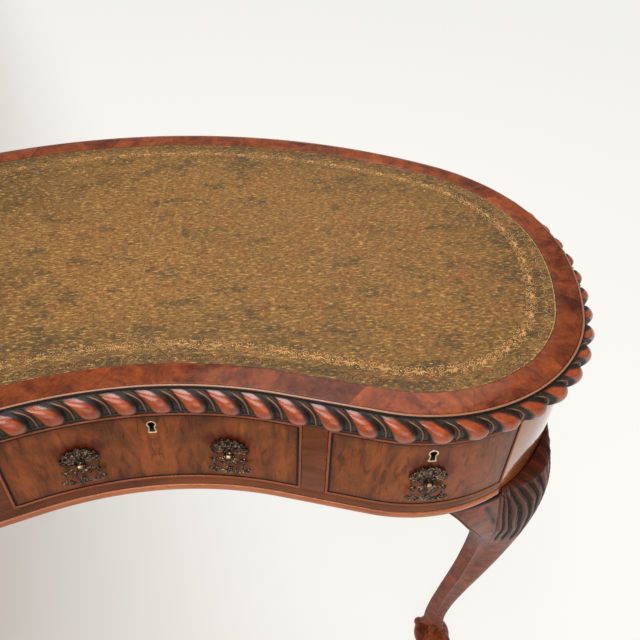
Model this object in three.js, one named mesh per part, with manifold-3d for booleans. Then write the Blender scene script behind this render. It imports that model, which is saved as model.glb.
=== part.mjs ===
// Kidney shaped writing desk: leather top with a gadrooned edge, three bow-fronted frieze
// drawers with drop handles and locks, and four cabriole legs on ball-and-claw feet.
// Millimetres, +Z up, +X to the sitter's right, the drawers face -Y. The origin is on the
// floor under the middle of the top.

import * as THREE from 'three';
import { mergeVertices } from 'three/addons/utils/BufferGeometryUtils.js';
import Module from 'manifold-3d';

const wasm = await Module();
wasm.setup();

// Driving dimensions of the plan: tangent arcs from the middle of the back, round the end and
// the front lobe, to a straight run and the hollow where the sitter's knees go
const backRadius = 734.4;
const endRadius = 267.9;
const shoulderRadius = 405.4;
const lobeRadius = 209.4;
const hollowRun = 103.6;
const hollowRadius = 446.7;
const backEndDegrees = 57.4;
const endEndDegrees = -4;
const shoulderEndDegrees = -20.5;

// Driving heights
const deskHeight = 775;
const edgeHeight = 42.7;
const friezeDrop = 180.5;

// Shared clearances and facet size
const seam = 0.35;
const drawerGap = 0.6;
const drawerPlay = 1;
const facetSag = 0.4;
const hollowSag = 0.15;
const overrun = 20;
const sliver = 0.01;
const leastFacet = 1.2;
const weldDistance = 0.0003;

// Top: boards, veneer and hide
const edgeThickness = 14;
const veneerThickness = 2;
const hideThickness = 1.7;
const topThickness = 23.4;
const borderWidth = 31.3;
const lipWidth = 2.6;
const liningWidth = 56;

// Gadrooned edge: one lobe is a slanted swelling between two grooves
const lobeCount = 78;
const lobeProud = 16;
const grooveProud = 6.5;
const lipHeight = 4.4;
const lobeSlant = 16;
const firstGroove = -1;

// Frieze, rails and stiles
const faceInset = 1.5;
const friezeThickness = 19;
const railDepth = 48.5;
const railHeight = 14;
const beadHeight = 9.7;
const beadProud = 2.2;
const beadDepth = 22;
const centreDrawerHalf = 158.3;
const stileWidth = 25.8;
const drawersReach = 95.14;
const crossRailInset = 214.92;
const crossRailThickness = 22;
const runnerWidth = 22;
const guideWidth = 8.4;
const guideHeight = 14;

// Drawers
const frontThickness = 20;
const sideThickness = 9;
const sideDrop = 9;
const bottomThickness = 6;
const bottomLift = 6;
const drawerBackGap = 6;
const drawerTopGap = 0.9;
const cockbeadWidth = 2.6;
const cockbeadProud = 1.4;
const cockbeadDepth = 9;

// Locks and key plates
const lockWidth = 46;
const lockHeight = 38;
const lockDepth = 9;
const boltWidth = 16;
const boltDepth = 4.5;
const boltHeight = 12;
const boltTravel = 6.5;
const boltPlay = 0.35;
const boltTopDrop = 0.8;
const lockBackPlate = 2;
const keyholeDrop = 65.2;
const plateTopRadius = 5.25;
const plateHeight = 19;
const plateWaist = 3.6;
const plateFoot = 4.9;
const plateThickness = 2.4;
const plateProud = 0.5;
const keyholeRadius = 3.1;
const keyholeFoot = 1.9;
const keyholeLength = 9.4;
const plateSteps = 5;
const keyholeSteps = 4;

// Drop handles
const centreHandleX = 80.4;
const sideHandleInset = 6.06;
const handleDrop = 105.2;
const crownWidth = 39;
const crownHeight = 31;
const crownThickness = 2;
const dropWidth = 48;
const dropLength = 29.5;
const dropThickness = 2.2;
const pinRadius = 1.3;
const pinLength = 12;
const pinStand = 6.4;
const pinPlay = 0.3;
const eyeWall = 1.5;
const eyeWidth = 5.4;
const earWidth = 2.6;
const crownCurveSteps = 2;
const dropCurveSteps = 3;

// Legs
const frontLegDegrees = -42;
const rearLegDegrees = 60.1;
const earReach = 146;
const kneeRise = 9.8;
const kneeHalf = 72;
const kneeProud = 25;
const postReach = 46;
const ankleRadius = 15.5;
const ballRadius = 32;
const ballHeight = 54;
const footInset = 50;
const soleRadius = 17;
const blockDepth = 31;
const frontBlockHalf = 18;
const rearBlockHalf = 34;

// Heights that follow
const topZ = deskHeight;
const boardTopZ = topZ - veneerThickness - seam;
const boardBottomZ = boardTopZ - topThickness;
const edgeBottomZ = topZ - edgeHeight;
const friezeBottomZ = topZ - friezeDrop;
const friezeTopZ = edgeBottomZ - seam;
const beadTopZ = friezeBottomZ + beadHeight;
const railBottomZ = beadTopZ + seam;
const railTopZ = railBottomZ + railHeight;
const drawerBottomZ = railTopZ + drawerGap;
const drawerTopZ = edgeBottomZ - drawerTopGap;
const runnerTopZ = drawerBottomZ - seam;

// Finishes
const finish = (color, roughness, metalness = 0) => ({ color, roughness, metalness });
const finishes = {
  walnut: finish(0x7a4524, 0.35),
  darkWalnut: finish(0x4d2814, 0.4),
  burr: finish(0x6b3018, 0.3),
  carved: finish(0x8a4a26, 0.3),
  beadWood: finish(0xa5633a, 0.35),
  hide: finish(0x4a4220, 0.55),
  lining: finish(0x8f6b45, 0.7),
  antiqueBrass: finish(0x4a3a26, 0.45, 0.9),
  brass: finish(0xc9b48a, 0.35, 1),
  steel: finish(0x77736c, 0.45, 1),
};

const desk = new THREE.Group();
const { degToRad } = THREE.MathUtils;

// Plan outline of the top's lip. A place on it is a distance along it from the middle of the
// front, positive towards the sitter's right, and a distance out from it.
const polar = (angle, radius) => new THREE.Vector2(Math.cos(angle) * radius, Math.sin(angle) * radius);
const backEnd = degToRad(backEndDegrees);
const endEnd = degToRad(endEndDegrees);
const shoulderEnd = degToRad(shoulderEndDegrees);
const backCentre = new THREE.Vector2(0, -backRadius);
const endCentre = backCentre.clone().add(polar(backEnd, backRadius - endRadius));
const shoulderCentre = endCentre.clone().add(polar(endEnd, endRadius - shoulderRadius));
const lobeCentre = shoulderCentre.clone().add(polar(shoulderEnd, shoulderRadius - lobeRadius));
const centreReach = Math.hypot(lobeRadius + hollowRadius, hollowRun);
const lobeEnd = Math.atan2(hollowRun, lobeRadius + hollowRadius) - Math.acos(-lobeCentre.x / centreReach);
const runOuter = lobeCentre.clone().add(polar(lobeEnd, lobeRadius));
const runInner = runOuter.clone().add(polar(lobeEnd - Math.PI / 2, hollowRun));
const hollowCentre = runInner.clone().add(polar(lobeEnd, hollowRadius));
const depthShift = (lobeRadius - lobeCentre.y) / 2;
for (const centre of [backCentre, endCentre, shoulderCentre, lobeCentre, runOuter, runInner, hollowCentre]) {
  centre.y += depthShift;
}

// The side drawers lie in front of the lobes, and the rail behind them a way in from the back
const drawersEnd = lobeCentre.x + drawersReach;
const sideHandleX = lobeCentre.x - sideHandleInset;
const crossRailY = depthShift - crossRailInset;

const arc = (centre, radius, from, to, side, sag = facetSag) => ({
  length: Math.abs(to - from) * radius,
  steps: Math.ceil(Math.abs(to - from) / (2 * Math.acos(1 - sag / radius))),
  at(share) {
    const angle = from + (to - from) * share;
    return { point: centre.clone().add(polar(angle, radius)), out: polar(angle, side) };
  },
});
const run = (from, to, outAngle) => ({
  length: from.distanceTo(to),
  steps: 1,
  at: (share) => ({ point: from.clone().lerp(to, share), out: polar(outAngle, 1) }),
});
const outline = [
  arc(hollowCentre, hollowRadius, Math.PI / 2, lobeEnd + Math.PI, -1, hollowSag),
  run(runInner, runOuter, lobeEnd),
  arc(lobeCentre, lobeRadius, lobeEnd, shoulderEnd, 1),
  arc(shoulderCentre, shoulderRadius, shoulderEnd, endEnd, 1),
  arc(endCentre, endRadius, endEnd, backEnd, 1),
  arc(backCentre, backRadius, backEnd, Math.PI / 2, 1),
];
const halfLength = outline.reduce((sum, piece) => sum + piece.length, 0);
const lobeStart = outline[0].length + outline[1].length;
const endStart = lobeStart + outline[2].length + outline[3].length;
const backStart = endStart + outline[4].length;

function place(along) {
  const wrapped = along > halfLength ? along - 2 * halfLength : along;
  let left = Math.min(Math.abs(wrapped), halfLength);
  const piece = outline.find((part) => {
    if (left <= part.length || part === outline[outline.length - 1]) return true;
    left -= part.length;
    return false;
  });
  const spot = piece.at(Math.min(left / piece.length, 1));
  if (wrapped < 0) {
    spot.point.x = -spot.point.x;
    spot.out.x = -spot.out.x;
  }
  return spot;
}

function edgePoint(along, out, z) {
  const spot = place(along);
  return new THREE.Vector3(spot.point.x + spot.out.x * out, spot.point.y + spot.out.y * out, z);
}

// Distances along the outline where its facets meet, over more than one turn
const halfBreaks = [0];
for (const piece of outline) {
  const start = halfBreaks[halfBreaks.length - 1];
  for (let step = 1; step <= piece.steps; step++) {
    halfBreaks.push(start + (piece.length * step) / piece.steps);
  }
}
const turnBreaks = halfBreaks.slice(1).reverse().map((s) => -s).concat(halfBreaks);
const breaks = turnBreaks.concat(halfBreaks.slice(0, -1).reverse().map((s) => 2 * halfLength - s));

function stations(from, to) {
  return [from, ...breaks.filter((s) => s > from + leastFacet && s < to - leastFacet), to];
}

function alongAtAngle(degrees) {
  // Along the lobe arc, or past the end arc on the back arc
  const angle = degToRad(degrees);
  if (angle > backEnd) return backStart + (angle - backEnd) * backRadius;
  return lobeStart + (angle - lobeEnd) * lobeRadius;
}

// Solids
function geometryFrom(points, index) {
  const geometry = new THREE.BufferGeometry();
  geometry.setAttribute('position', new THREE.BufferAttribute(Float32Array.from(points), 3));
  let volume = 0;
  const corner = (i) => new THREE.Vector3().fromArray(points, 3 * index[i]);
  for (let i = 0; i < index.length; i += 3) {
    volume += corner(i).dot(corner(i + 1).cross(corner(i + 2)));
  }
  if (volume < 0) {
    for (let i = 0; i < index.length; i += 3) {
      [index[i + 1], index[i + 2]] = [index[i + 2], index[i + 1]];
    }
  }
  geometry.setIndex(index);
  return geometry;
}

// Skins a row of rings that have equal counts of points. An open row is closed by its end
// rings, whose flat shapes are given in the same order as their points.
function loft(rings, endShapes) {
  const count = rings[0].length;
  const index = [];
  const rows = endShapes ? rings.length - 1 : rings.length;
  for (let i = 0; i < rows; i++) {
    const near = i * count;
    const far = ((i + 1) % rings.length) * count;
    for (let j = 0; j < count; j++) {
      const k = (j + 1) % count;
      index.push(near + j, far + j, far + k, near + j, far + k, near + k);
    }
  }
  if (endShapes) {
    endShapes.forEach((shape, end) => {
      const base = end === 0 ? 0 : (rings.length - 1) * count;
      const turn = Math.sign(THREE.ShapeUtils.area(shape)) * (end === 0 ? 1 : -1);
      for (const face of THREE.ShapeUtils.triangulateShape(shape, [])) {
        const way = Math.sign(THREE.ShapeUtils.area(face.map((i) => shape[i])));
        const ordered = way === turn ? face : face.slice().reverse();
        index.push(...ordered.map((i) => base + i));
      }
    });
  }
  return geometryFrom(rings.flat().flatMap((p) => [p.x, p.y, p.z]), index);
}

// A section of [out, z] points carried along the outline
function band(from, to, section) {
  const shape = section.map(([out, z]) => new THREE.Vector2(out, z));
  const rings = stations(from, to).map((s) => section.map(([out, z]) => edgePoint(s, out, z)));
  return loft(rings, [shape, shape]);
}

const rectangle = (inner, outer, low, high) => [[inner, low], [outer, low], [outer, high], [inner, high]];

function planShape(out) {
  return turnBreaks.slice(1).map((s) => {
    const point = edgePoint(s, out, 0);
    return new THREE.Vector2(point.x, point.y);
  });
}

function slab(out, low, high, holeOut) {
  const shape = new THREE.Shape(planShape(out));
  if (holeOut !== undefined) shape.holes.push(new THREE.Path(planShape(holeOut)));
  return new THREE.ExtrudeGeometry(shape, { depth: high - low, bevelEnabled: false }).translate(0, 0, low);
}

function box(x0, x1, y0, y1, z0, z1) {
  return new THREE.BoxGeometry(x1 - x0, y1 - y0, z1 - z0)
    .translate((x0 + x1) / 2, (y0 + y1) / 2, (z0 + z1) / 2);
}

function solid(geometry) {
  const bare = geometry.clone();
  bare.deleteAttribute('normal');
  bare.deleteAttribute('uv');
  const merged = mergeVertices(bare, weldDistance);
  return new wasm.Manifold(new wasm.Mesh({
    numProp: 3,
    vertProperties: Float32Array.from(merged.attributes.position.array),
    triVerts: Uint32Array.from(merged.index.array),
  }));
}

// A cut's solid as a geometry, without the slivers that near-flush faces leave
function geometryOf(cut) {
  const mesh = cut.simplify(sliver).getMesh();
  const geometry = new THREE.BufferGeometry();
  geometry.setAttribute('position', new THREE.BufferAttribute(Float32Array.from(mesh.vertProperties), 3));
  geometry.setIndex(Array.from(mesh.triVerts));
  return geometry;
}

const cutFrom = (body, ...tools) => tools.reduce((rest, tool) => rest.subtract(solid(tool)), solid(body));
const common = (first, ...more) => more.reduce((rest, other) => rest.intersect(solid(other)), solid(first));
const joined = (first, ...more) => more.reduce((rest, other) => rest.add(solid(other)), solid(first));

function add(name, shape, look, parent = desk) {
  const geometry = shape.isBufferGeometry ? shape : geometryOf(shape);
  const mesh = new THREE.Mesh(geometry, new THREE.MeshStandardMaterial(finishes[look]));
  mesh.name = name;
  parent.add(mesh);
  return mesh;
}

// A group whose +Y points out of the desk's face at a distance along the outline and whose
// +Z is up, so that fittings are drawn flat and then set on the curved face
function onFace(along, out, z) {
  const spot = place(along);
  const group = new THREE.Group();
  const point = edgePoint(along, out, z);
  group.position.copy(point);
  group.rotation.z = Math.atan2(spot.out.y, spot.out.x) - Math.PI / 2;
  group.updateMatrixWorld(true);
  desk.add(group);
  return group;
}

const inPlace = (geometry, group) => geometry.clone().applyMatrix4(group.matrixWorld);

// Distance along the front where a face set in by some way stands at a given x, by halving
const halvings = 50;
function alongAtX(x, out) {
  let low = 0;
  let high = alongAtAngle(frontLegDegrees);
  for (let turn = 0; turn < halvings; turn++) {
    const middle = (low + high) / 2;
    if (edgePoint(middle, out, 0).x < Math.abs(x)) low = middle;
    else high = middle;
  }
  return low * Math.sign(x);
}

const locks = [
  { name: 'left', x: -sideHandleX },
  { name: 'centre', x: 0 },
  { name: 'right', x: sideHandleX },
].map((lock) => ({ ...lock, along: lock.x === 0 ? 0 : alongAtX(lock.x, -faceInset) }));

// Top
function makeTop() {
  const boardOut = -edgeThickness - seam;
  const hideTopZ = boardTopZ + seam + hideThickness;
  add('top_board', slab(boardOut, boardBottomZ, boardTopZ), 'darkWalnut');
  add('burr_border', slab(-lipWidth - seam, topZ - veneerThickness, topZ, -borderWidth), 'burr');
  add('leather_panel', slab(-borderWidth - seam, boardTopZ + seam, hideTopZ), 'hide');
  const liningTopZ = boardBottomZ - seam;
  const mortises = locks.map((lock) => {
    const group = onFace(lock.along, -faceInset - frontThickness + boltDepth, edgeBottomZ);
    desk.remove(group);
    const wide = boltWidth / 2 + drawerPlay;
    const deep = boltDepth / 2 + drawerPlay;
    return inPlace(box(-wide, wide, -deep, deep, -overrun, boltTravel + drawerPlay), group);
  });
  const ring = slab(boardOut, edgeBottomZ, liningTopZ, boardOut - liningWidth);
  add('top_lining', cutFrom(ring, ...mortises), 'lining');
}

// Section of the edge moulding at one phase of the lobe pattern, listed from the hidden back,
// over the lip, and down the carved face
const carveTopZ = topZ - lipHeight;
const faceHeightShares = [0.18, 0.5, 0.82];
const bulgePower = 0.75;
const lipRoundShare = 0.25;
function edgeSection(swell) {
  const proud = grooveProud + (lobeProud - grooveProud) * swell;
  const carved = faceHeightShares.map((share) => [
    proud * Math.sin(Math.PI * share) ** bulgePower,
    carveTopZ + (edgeBottomZ - carveTopZ) * share,
  ]);
  return [
    [-edgeThickness, edgeBottomZ],
    [-edgeThickness, boardTopZ + seam],
    [-lipWidth, boardTopZ + seam],
    [-lipWidth, topZ],
    [0, topZ - lipHeight * lipRoundShare],
    [-lipWidth / 2, carveTopZ],
    ...carved,
    [0, edgeBottomZ],
  ];
}

// Along one lobe from groove to groove, and how far it swells; the lean runs over more than
// the carved height
const lobeSwellShares = [[0, 0], [0.3, 1], [0.68, 0.94]];
const leanShares = [-0.5, 1.2];
function makeEdge() {
  const pitch = (2 * halfLength) / lobeCount;
  const quarter = Math.round(lobeCount / 4);
  const half = Math.round(quarter / 2);
  const lengths = [
    ['front', -half, half],
    ['right', half, half + quarter],
    ['back', half + quarter, lobeCount - half - quarter],
    ['left', lobeCount - half - quarter, lobeCount - half],
  ];
  const lean = (z) => {
    const share = THREE.MathUtils.clamp((carveTopZ - z) / (carveTopZ - edgeBottomZ), 0, 1);
    return -lobeSlant * (1 - THREE.MathUtils.smoothstep(share, ...leanShares));
  };
  const ringAt = (s, swell) => edgeSection(swell).map(([out, z]) => edgePoint(s + lean(z), out, z));
  for (const [name, firstLobe, lastLobe] of lengths) {
    const rings = [];
    for (let lobe = firstLobe; lobe < lastLobe; lobe++) {
      for (const [share, swell] of lobeSwellShares) {
        const start = lobe === firstLobe && share === 0 ? seam / 2 : 0;
        rings.push(ringAt(firstGroove + (lobe + share) * pitch + start, swell));
      }
    }
    rings.push(ringAt(firstGroove + lastLobe * pitch - seam / 2, 0));
    const shape = edgeSection(0).map(([out, z]) => new THREE.Vector2(out, z));
    add(`gadroon_${name}`, loft(rings, [shape, shape]), 'carved');
  }
}

// Bottom bead: a half round nosing below a flat frieze
const beadSteps = 3;
function beadPoints(flatOut) {
  const points = [];
  for (let step = 0; step <= beadSteps; step++) {
    const angle = -Math.PI / 2 + (Math.PI * step) / beadSteps;
    const middleZ = friezeBottomZ + beadHeight / 2;
    points.push([flatOut + beadProud * Math.cos(angle), middleZ + (beadHeight / 2) * Math.sin(angle)]);
  }
  return points;
}

// Frieze round the ends and the back, the bead worked on its lower edge
const frontLegAlong = alongAtAngle(frontLegDegrees);
const rearLegAlong = alongAtAngle(rearLegDegrees);
function friezeSection() {
  const inner = -faceInset - friezeThickness;
  return [[inner, friezeBottomZ], ...beadPoints(-faceInset), [-faceInset, friezeTopZ], [inner, friezeTopZ]];
}

// The bead stops where a knee laps over the frieze
const kneeNotch = (along) => band(along - kneeHalf - seam, along + kneeHalf + seam,
  rectangle(-faceInset, overrun, friezeBottomZ - overrun, beadTopZ + seam));

function makeFrieze() {
  const frontEnd = alongAtX(drawersEnd, -faceInset) - overrun - friezeThickness;
  const opening = box(-drawersEnd, drawersEnd, -deskHeight, 0, 0, deskHeight);
  const whole = band(frontEnd, rearLegAlong - seam / 2, friezeSection());
  const right = cutFrom(whole, opening, kneeNotch(frontLegAlong), kneeNotch(rearLegAlong));
  add('end_frieze_right', right, 'walnut');
  add('end_frieze_left', right.mirror([1, 0, 0]), 'walnut');
  const farLeg = 2 * halfLength - rearLegAlong;
  const back = band(rearLegAlong + seam / 2, farLeg - seam / 2, friezeSection());
  add('back_frieze', cutFrom(back, kneeNotch(rearLegAlong), kneeNotch(farLeg)), 'walnut');
}

// Front rail, its bead, and the stiles between the drawers
function makeFront() {
  const outer = -faceInset;
  const inner = -faceInset - railDepth;
  const reach = alongAtX(drawersEnd, outer) + overrun;
  const span = drawersEnd - seam;
  const between = box(-span, span, -deskHeight, 0, 0, deskHeight);
  const rail = band(-reach, reach, rectangle(inner, outer, railBottomZ, railTopZ));
  add('front_rail', common(rail, between), 'walnut');
  const beadBack = outer - beadDepth;
  const beadSection = [[beadBack, friezeBottomZ], ...beadPoints(outer), [beadBack, beadTopZ]];
  const bead = band(-reach, reach, beadSection);
  add('front_bead', common(bead, between), 'beadWood');
  for (const [name, side] of [['left', -1], ['right', 1]]) {
    const from = Math.min(side * centreDrawerHalf, side * (centreDrawerHalf + stileWidth));
    const strip = band(-reach, reach, rectangle(inner, outer, railTopZ + seam, friezeTopZ));
    const column = box(from, from + stileWidth, -deskHeight, 0, 0, deskHeight);
    add(`stile_${name}`, common(strip, column), 'walnut');
  }
}

// Hidden carcase: partitions behind the stiles, a cross rail behind the drawers, runners that
// the drawer sides slide on, and corner blocks over the legs
function makeCarcase() {
  const behindRail = -faceInset - railDepth - seam;
  const insideFrieze = -faceInset - friezeThickness - seam;
  const crossBack = crossRailY + crossRailThickness;
  const span = deskHeight;
  const inside = slab(insideFrieze, friezeBottomZ, friezeTopZ);
  const rail = common(inside, box(-span, span, crossRailY, crossBack, 0, span));
  add('rear_cross_rail', rail, 'lining');
  const room = slab(behindRail, friezeBottomZ, friezeTopZ);
  const partitionPlay = drawerPlay / 2;
  const railFront = crossRailY - seam;
  const near = centreDrawerHalf + partitionPlay;
  const far = centreDrawerHalf + stileWidth - partitionPlay;
  const runnerLow = railBottomZ;
  for (const [name, side] of [['left', -1], ['right', 1]]) {
    const mirrored = (x0, x1, z0, z1) =>
      box(Math.min(side * x0, side * x1), Math.max(side * x0, side * x1), -span, railFront, z0, z1);
    add(`partition_${name}`, common(room, mirrored(near, far, friezeBottomZ, friezeTopZ)), 'lining');
    const inner = near - seam - runnerWidth;
    add(`centre_runner_${name}`, common(room, mirrored(inner, near - seam, runnerLow, runnerTopZ)), 'lining');
    const sideInner = mirrored(far + seam, far + seam + runnerWidth, runnerLow, runnerTopZ);
    add(`inner_runner_${name}`, common(room, sideInner), 'lining');
    const tread = mirrored(drawersEnd - runnerWidth, drawersEnd + guideWidth, runnerLow, runnerTopZ);
    const guide = mirrored(drawersEnd, drawersEnd + guideWidth, runnerLow, runnerTopZ + guideHeight);
    add(`outer_runner_${name}`, joined(tread, guide).intersect(solid(room)), 'lining');
  }
  const blocks = [
    ['front', frontLegAlong, frontBlockHalf],
    ['rear', rearLegAlong, rearBlockHalf],
  ];
  for (const [row, along, half] of blocks) {
    for (const [name, side] of [['left', -1], ['right', 1]]) {
      const spot = place(along);
      const shape = box(-half, half, -blockDepth, overrun, friezeBottomZ, friezeTopZ)
        .rotateZ(Math.atan2(spot.out.y, spot.out.x) - Math.PI / 2);
      const centre = edgePoint(along, insideFrieze, 0);
      shape.translate(centre.x, centre.y, 0);
      const block = common(shape, inside);
      add(`corner_block_${row}_${name}`, side > 0 ? block : block.mirror([1, 0, 0]), 'lining');
    }
  }
}

// Drawers
const plateOpenDegrees = -50;
const keyholeOpenDegrees = -55;
const waistShare = -0.17;
function escutcheonShape(grow) {
  const top = plateTopRadius + grow;
  const topY = plateHeight / 2 - plateTopRadius;
  const foot = -plateHeight / 2 - grow;
  const waistY = plateHeight * waistShare;
  const shape = new THREE.Shape();
  const open = degToRad(plateOpenDegrees);
  shape.absarc(0, topY, top, open, Math.PI - open, false);
  shape.quadraticCurveTo(-plateWaist - grow, waistY, -plateFoot - grow, foot);
  shape.lineTo(plateFoot + grow, foot);
  shape.quadraticCurveTo(plateWaist + grow, waistY, Math.cos(open) * top, topY + Math.sin(open) * top);
  return shape;
}

function keyholeShape() {
  const shape = new THREE.Shape();
  const open = degToRad(keyholeOpenDegrees);
  const topY = plateHeight / 2 - plateTopRadius;
  shape.absarc(0, topY, keyholeRadius, open, Math.PI - open, false);
  shape.lineTo(-keyholeFoot, topY - keyholeLength);
  shape.lineTo(keyholeFoot, topY - keyholeLength);
  return shape;
}

// Flat shapes are drawn in x and z, and stand out of the face along +Y from `back`
function upright(shape, back, front, curveSegments) {
  return new THREE.ExtrudeGeometry(shape, { depth: front - back, bevelEnabled: false, curveSegments })
    .rotateX(Math.PI / 2)
    .translate(0, front, 0);
}

function makeDrawer(lock, openFrom, openTo) {
  const { name } = lock;
  const low = Math.min(openFrom, openTo) + drawerGap;
  const high = Math.max(openFrom, openTo) - drawerGap;
  const faceOut = -faceInset;
  const backOut = faceOut - frontThickness;
  const reach = alongAtX(drawersEnd, faceOut) + overrun;
  const tall = deskHeight;
  const column = box(low, high, -tall, 0, drawerBottomZ, drawerTopZ);
  const board = common(band(-reach, reach, rectangle(backOut, faceOut, drawerBottomZ, drawerTopZ)), column);

  // Cockbead: a narrow rim round the front's edge that stands a little proud of the veneer
  const rimOut = faceOut + cockbeadProud;
  const rimBand = band(-reach, reach, rectangle(faceOut - cockbeadDepth, rimOut, drawerBottomZ, drawerTopZ));
  const window = box(
    low + cockbeadWidth, high - cockbeadWidth, -tall, 0,
    drawerBottomZ + cockbeadWidth, drawerTopZ - cockbeadWidth,
  );
  const rim = common(rimBand, column).subtract(solid(window));

  const keyPlace = onFace(lock.along, faceOut, topZ - keyholeDrop);
  const plateBack = plateProud - plateThickness;
  const pocket = inPlace(upright(escutcheonShape(seam), plateBack - seam, overrun, plateSteps), keyPlace);
  const lockPlace = onFace(lock.along, backOut, drawerTopZ);
  const lockBay = inPlace(
    box(-lockWidth / 2 - seam, lockWidth / 2 + seam, -overrun, lockDepth + seam, -lockHeight - seam, overrun),
    lockPlace,
  );
  const bit = upright(keyholeShape(), -overrun - frontThickness, overrun, keyholeSteps);
  const keyway = inPlace(bit, keyPlace);
  const front = board.add(rim).subtract(solid(pocket)).subtract(solid(lockBay)).subtract(solid(keyway));
  add(`${name}_drawer_front`, front, 'walnut');

  const plate = cutFrom(upright(escutcheonShape(0), plateBack, plateProud, plateSteps), bit);
  add(`${name}_escutcheon`, plate, 'brass', keyPlace);

  // Lock let in behind the front, its bolt rising through the top edge
  const slotHalf = boltWidth / 2 + boltPlay;
  const slotDepth = boltDepth / 2 + boltPlay;
  const boltMiddle = boltDepth;
  const caseTop = -boltTopDrop;
  const slot = box(-slotHalf, slotHalf, boltMiddle - slotDepth, boltMiddle + slotDepth,
    caseTop - boltHeight - boltPlay, overrun);
  const caseBit = upright(keyholeShape(), lockBackPlate, overrun, keyholeSteps)
    .translate(0, 0, topZ - keyholeDrop - drawerTopZ);
  const caseBody = box(-lockWidth / 2, lockWidth / 2, 0, lockDepth, -lockHeight, caseTop);
  const lockCase = cutFrom(caseBody, slot, caseBit);
  add(`${name}_lock_case`, lockCase, 'steel', lockPlace);
  const bolt = box(-boltWidth / 2, boltWidth / 2, -boltDepth / 2, boltDepth / 2, -boltHeight, 0)
    .translate(0, boltMiddle, caseTop);
  add(`${name}_lock_bolt`, bolt, 'brass', lockPlace);

  // Sides and back in one dovetailed frame, and the bottom board between them
  const room = slab(backOut - seam, drawerBottomZ, drawerTopZ);
  const back = crossRailY - drawerBackGap;
  const x0 = low + drawerPlay;
  const x1 = high - drawerPlay;
  const frameTop = drawerTopZ - sideDrop;
  const outerBox = box(x0, x1, -tall, back, drawerBottomZ, frameTop);
  const innerBox = box(
    x0 + sideThickness, x1 - sideThickness, -tall - overrun, back - sideThickness,
    drawerBottomZ - overrun, frameTop + overrun,
  );
  add(`${name}_drawer_frame`, cutFrom(outerBox, innerBox).intersect(solid(room)), 'lining');
  const bottomLow = drawerBottomZ + bottomLift;
  const bottom = common(
    box(x0 + sideThickness + seam, x1 - sideThickness - seam, -tall, back - sideThickness - seam,
      bottomLow, bottomLow + bottomThickness),
    room,
  );
  add(`${name}_drawer_bottom`, bottom, 'lining');
}

// Drop handle: a scalloped crown plate with two ears and a pin, and a pierced drop on the pin.
// Outlines are shares of the half width and of the height or length.
const crownScallops = 5;
const scallopRiseShare = 0.5;
const scallopLiftShare = 0.12;
const scallopSwellShare = 1.32;
const crownFootShares = [[0.95, -0.12], [0.55, -0.3]];
function crownShape() {
  const half = crownWidth / 2;
  const foot = (side) => crownFootShares.map(([x, z]) => new THREE.Vector2(side * x * half, z * crownHeight));
  const spots = [];
  for (let i = 0; i <= crownScallops; i++) {
    const angle = Math.PI - (Math.PI * i) / crownScallops;
    const z = Math.sin(angle) * crownHeight * scallopRiseShare + crownHeight * scallopLiftShare;
    spots.push(new THREE.Vector2(Math.cos(angle) * half, z));
  }
  const shape = new THREE.Shape([...foot(-1).reverse(), spots[0]]);
  for (let i = 1; i <= crownScallops; i++) {
    const swell = spots[i - 1].clone().add(spots[i]).multiplyScalar(scallopSwellShare / 2);
    shape.quadraticCurveTo(swell.x, swell.y, spots[i].x, spots[i].y);
  }
  for (const spot of foot(1)) shape.lineTo(spot.x, spot.y);
  return shape;
}

// One side of the drop from shoulder to tip: the control point and the end of each curve
const dropCurveShares = [
  [[0.5, 0.5], [0.95, 0.72]],
  [[1.1, 0.95], [0.7, 0.97]],
  [[0.3, 0.9], [0, 1]],
];
const dropShoulderShares = [0.42, 0.08];
const piercingPlaceShares = [0.38, 0.68];
const piercingSizeShares = [0.2, 0.13];
function dropShape() {
  const half = dropWidth / 2;
  const at = ([x, z], side) => [side * x * half, -z * dropLength];
  const neck = -(pinRadius + pinPlay + eyeWall) * Math.SQRT2 - pinPlay;
  const [shoulderX, shoulderZ] = at(dropShoulderShares, 1);
  const shape = new THREE.Shape();
  shape.moveTo(-eyeWidth / 2, -pinRadius);
  shape.lineTo(-eyeWidth / 2, neck);
  shape.lineTo(-shoulderX, neck + shoulderZ);
  for (const [control, end] of dropCurveShares) {
    shape.quadraticCurveTo(...at(control, -1), ...at(end, -1));
  }
  for (let i = dropCurveShares.length - 1; i >= 0; i--) {
    const end = i > 0 ? at(dropCurveShares[i - 1][1], 1) : [shoulderX, neck + shoulderZ];
    shape.quadraticCurveTo(...at(dropCurveShares[i][0], 1), ...end);
  }
  shape.lineTo(eyeWidth / 2, neck);
  shape.lineTo(eyeWidth / 2, -pinRadius);
  for (const side of [-1, 1]) {
    const hole = new THREE.Path();
    const [halfWidth, halfLength] = [piercingSizeShares[0] * half, piercingSizeShares[1] * dropLength];
    hole.absellipse(...at(piercingPlaceShares, side), halfWidth, halfLength, 0, 2 * Math.PI, true, 0);
    shape.holes.push(hole);
  }
  return shape;
}

const rodSides = 8;
function crossRod(radius, length) {
  return new THREE.CylinderGeometry(radius, radius, length, rodSides).rotateZ(Math.PI / 2);
}

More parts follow.
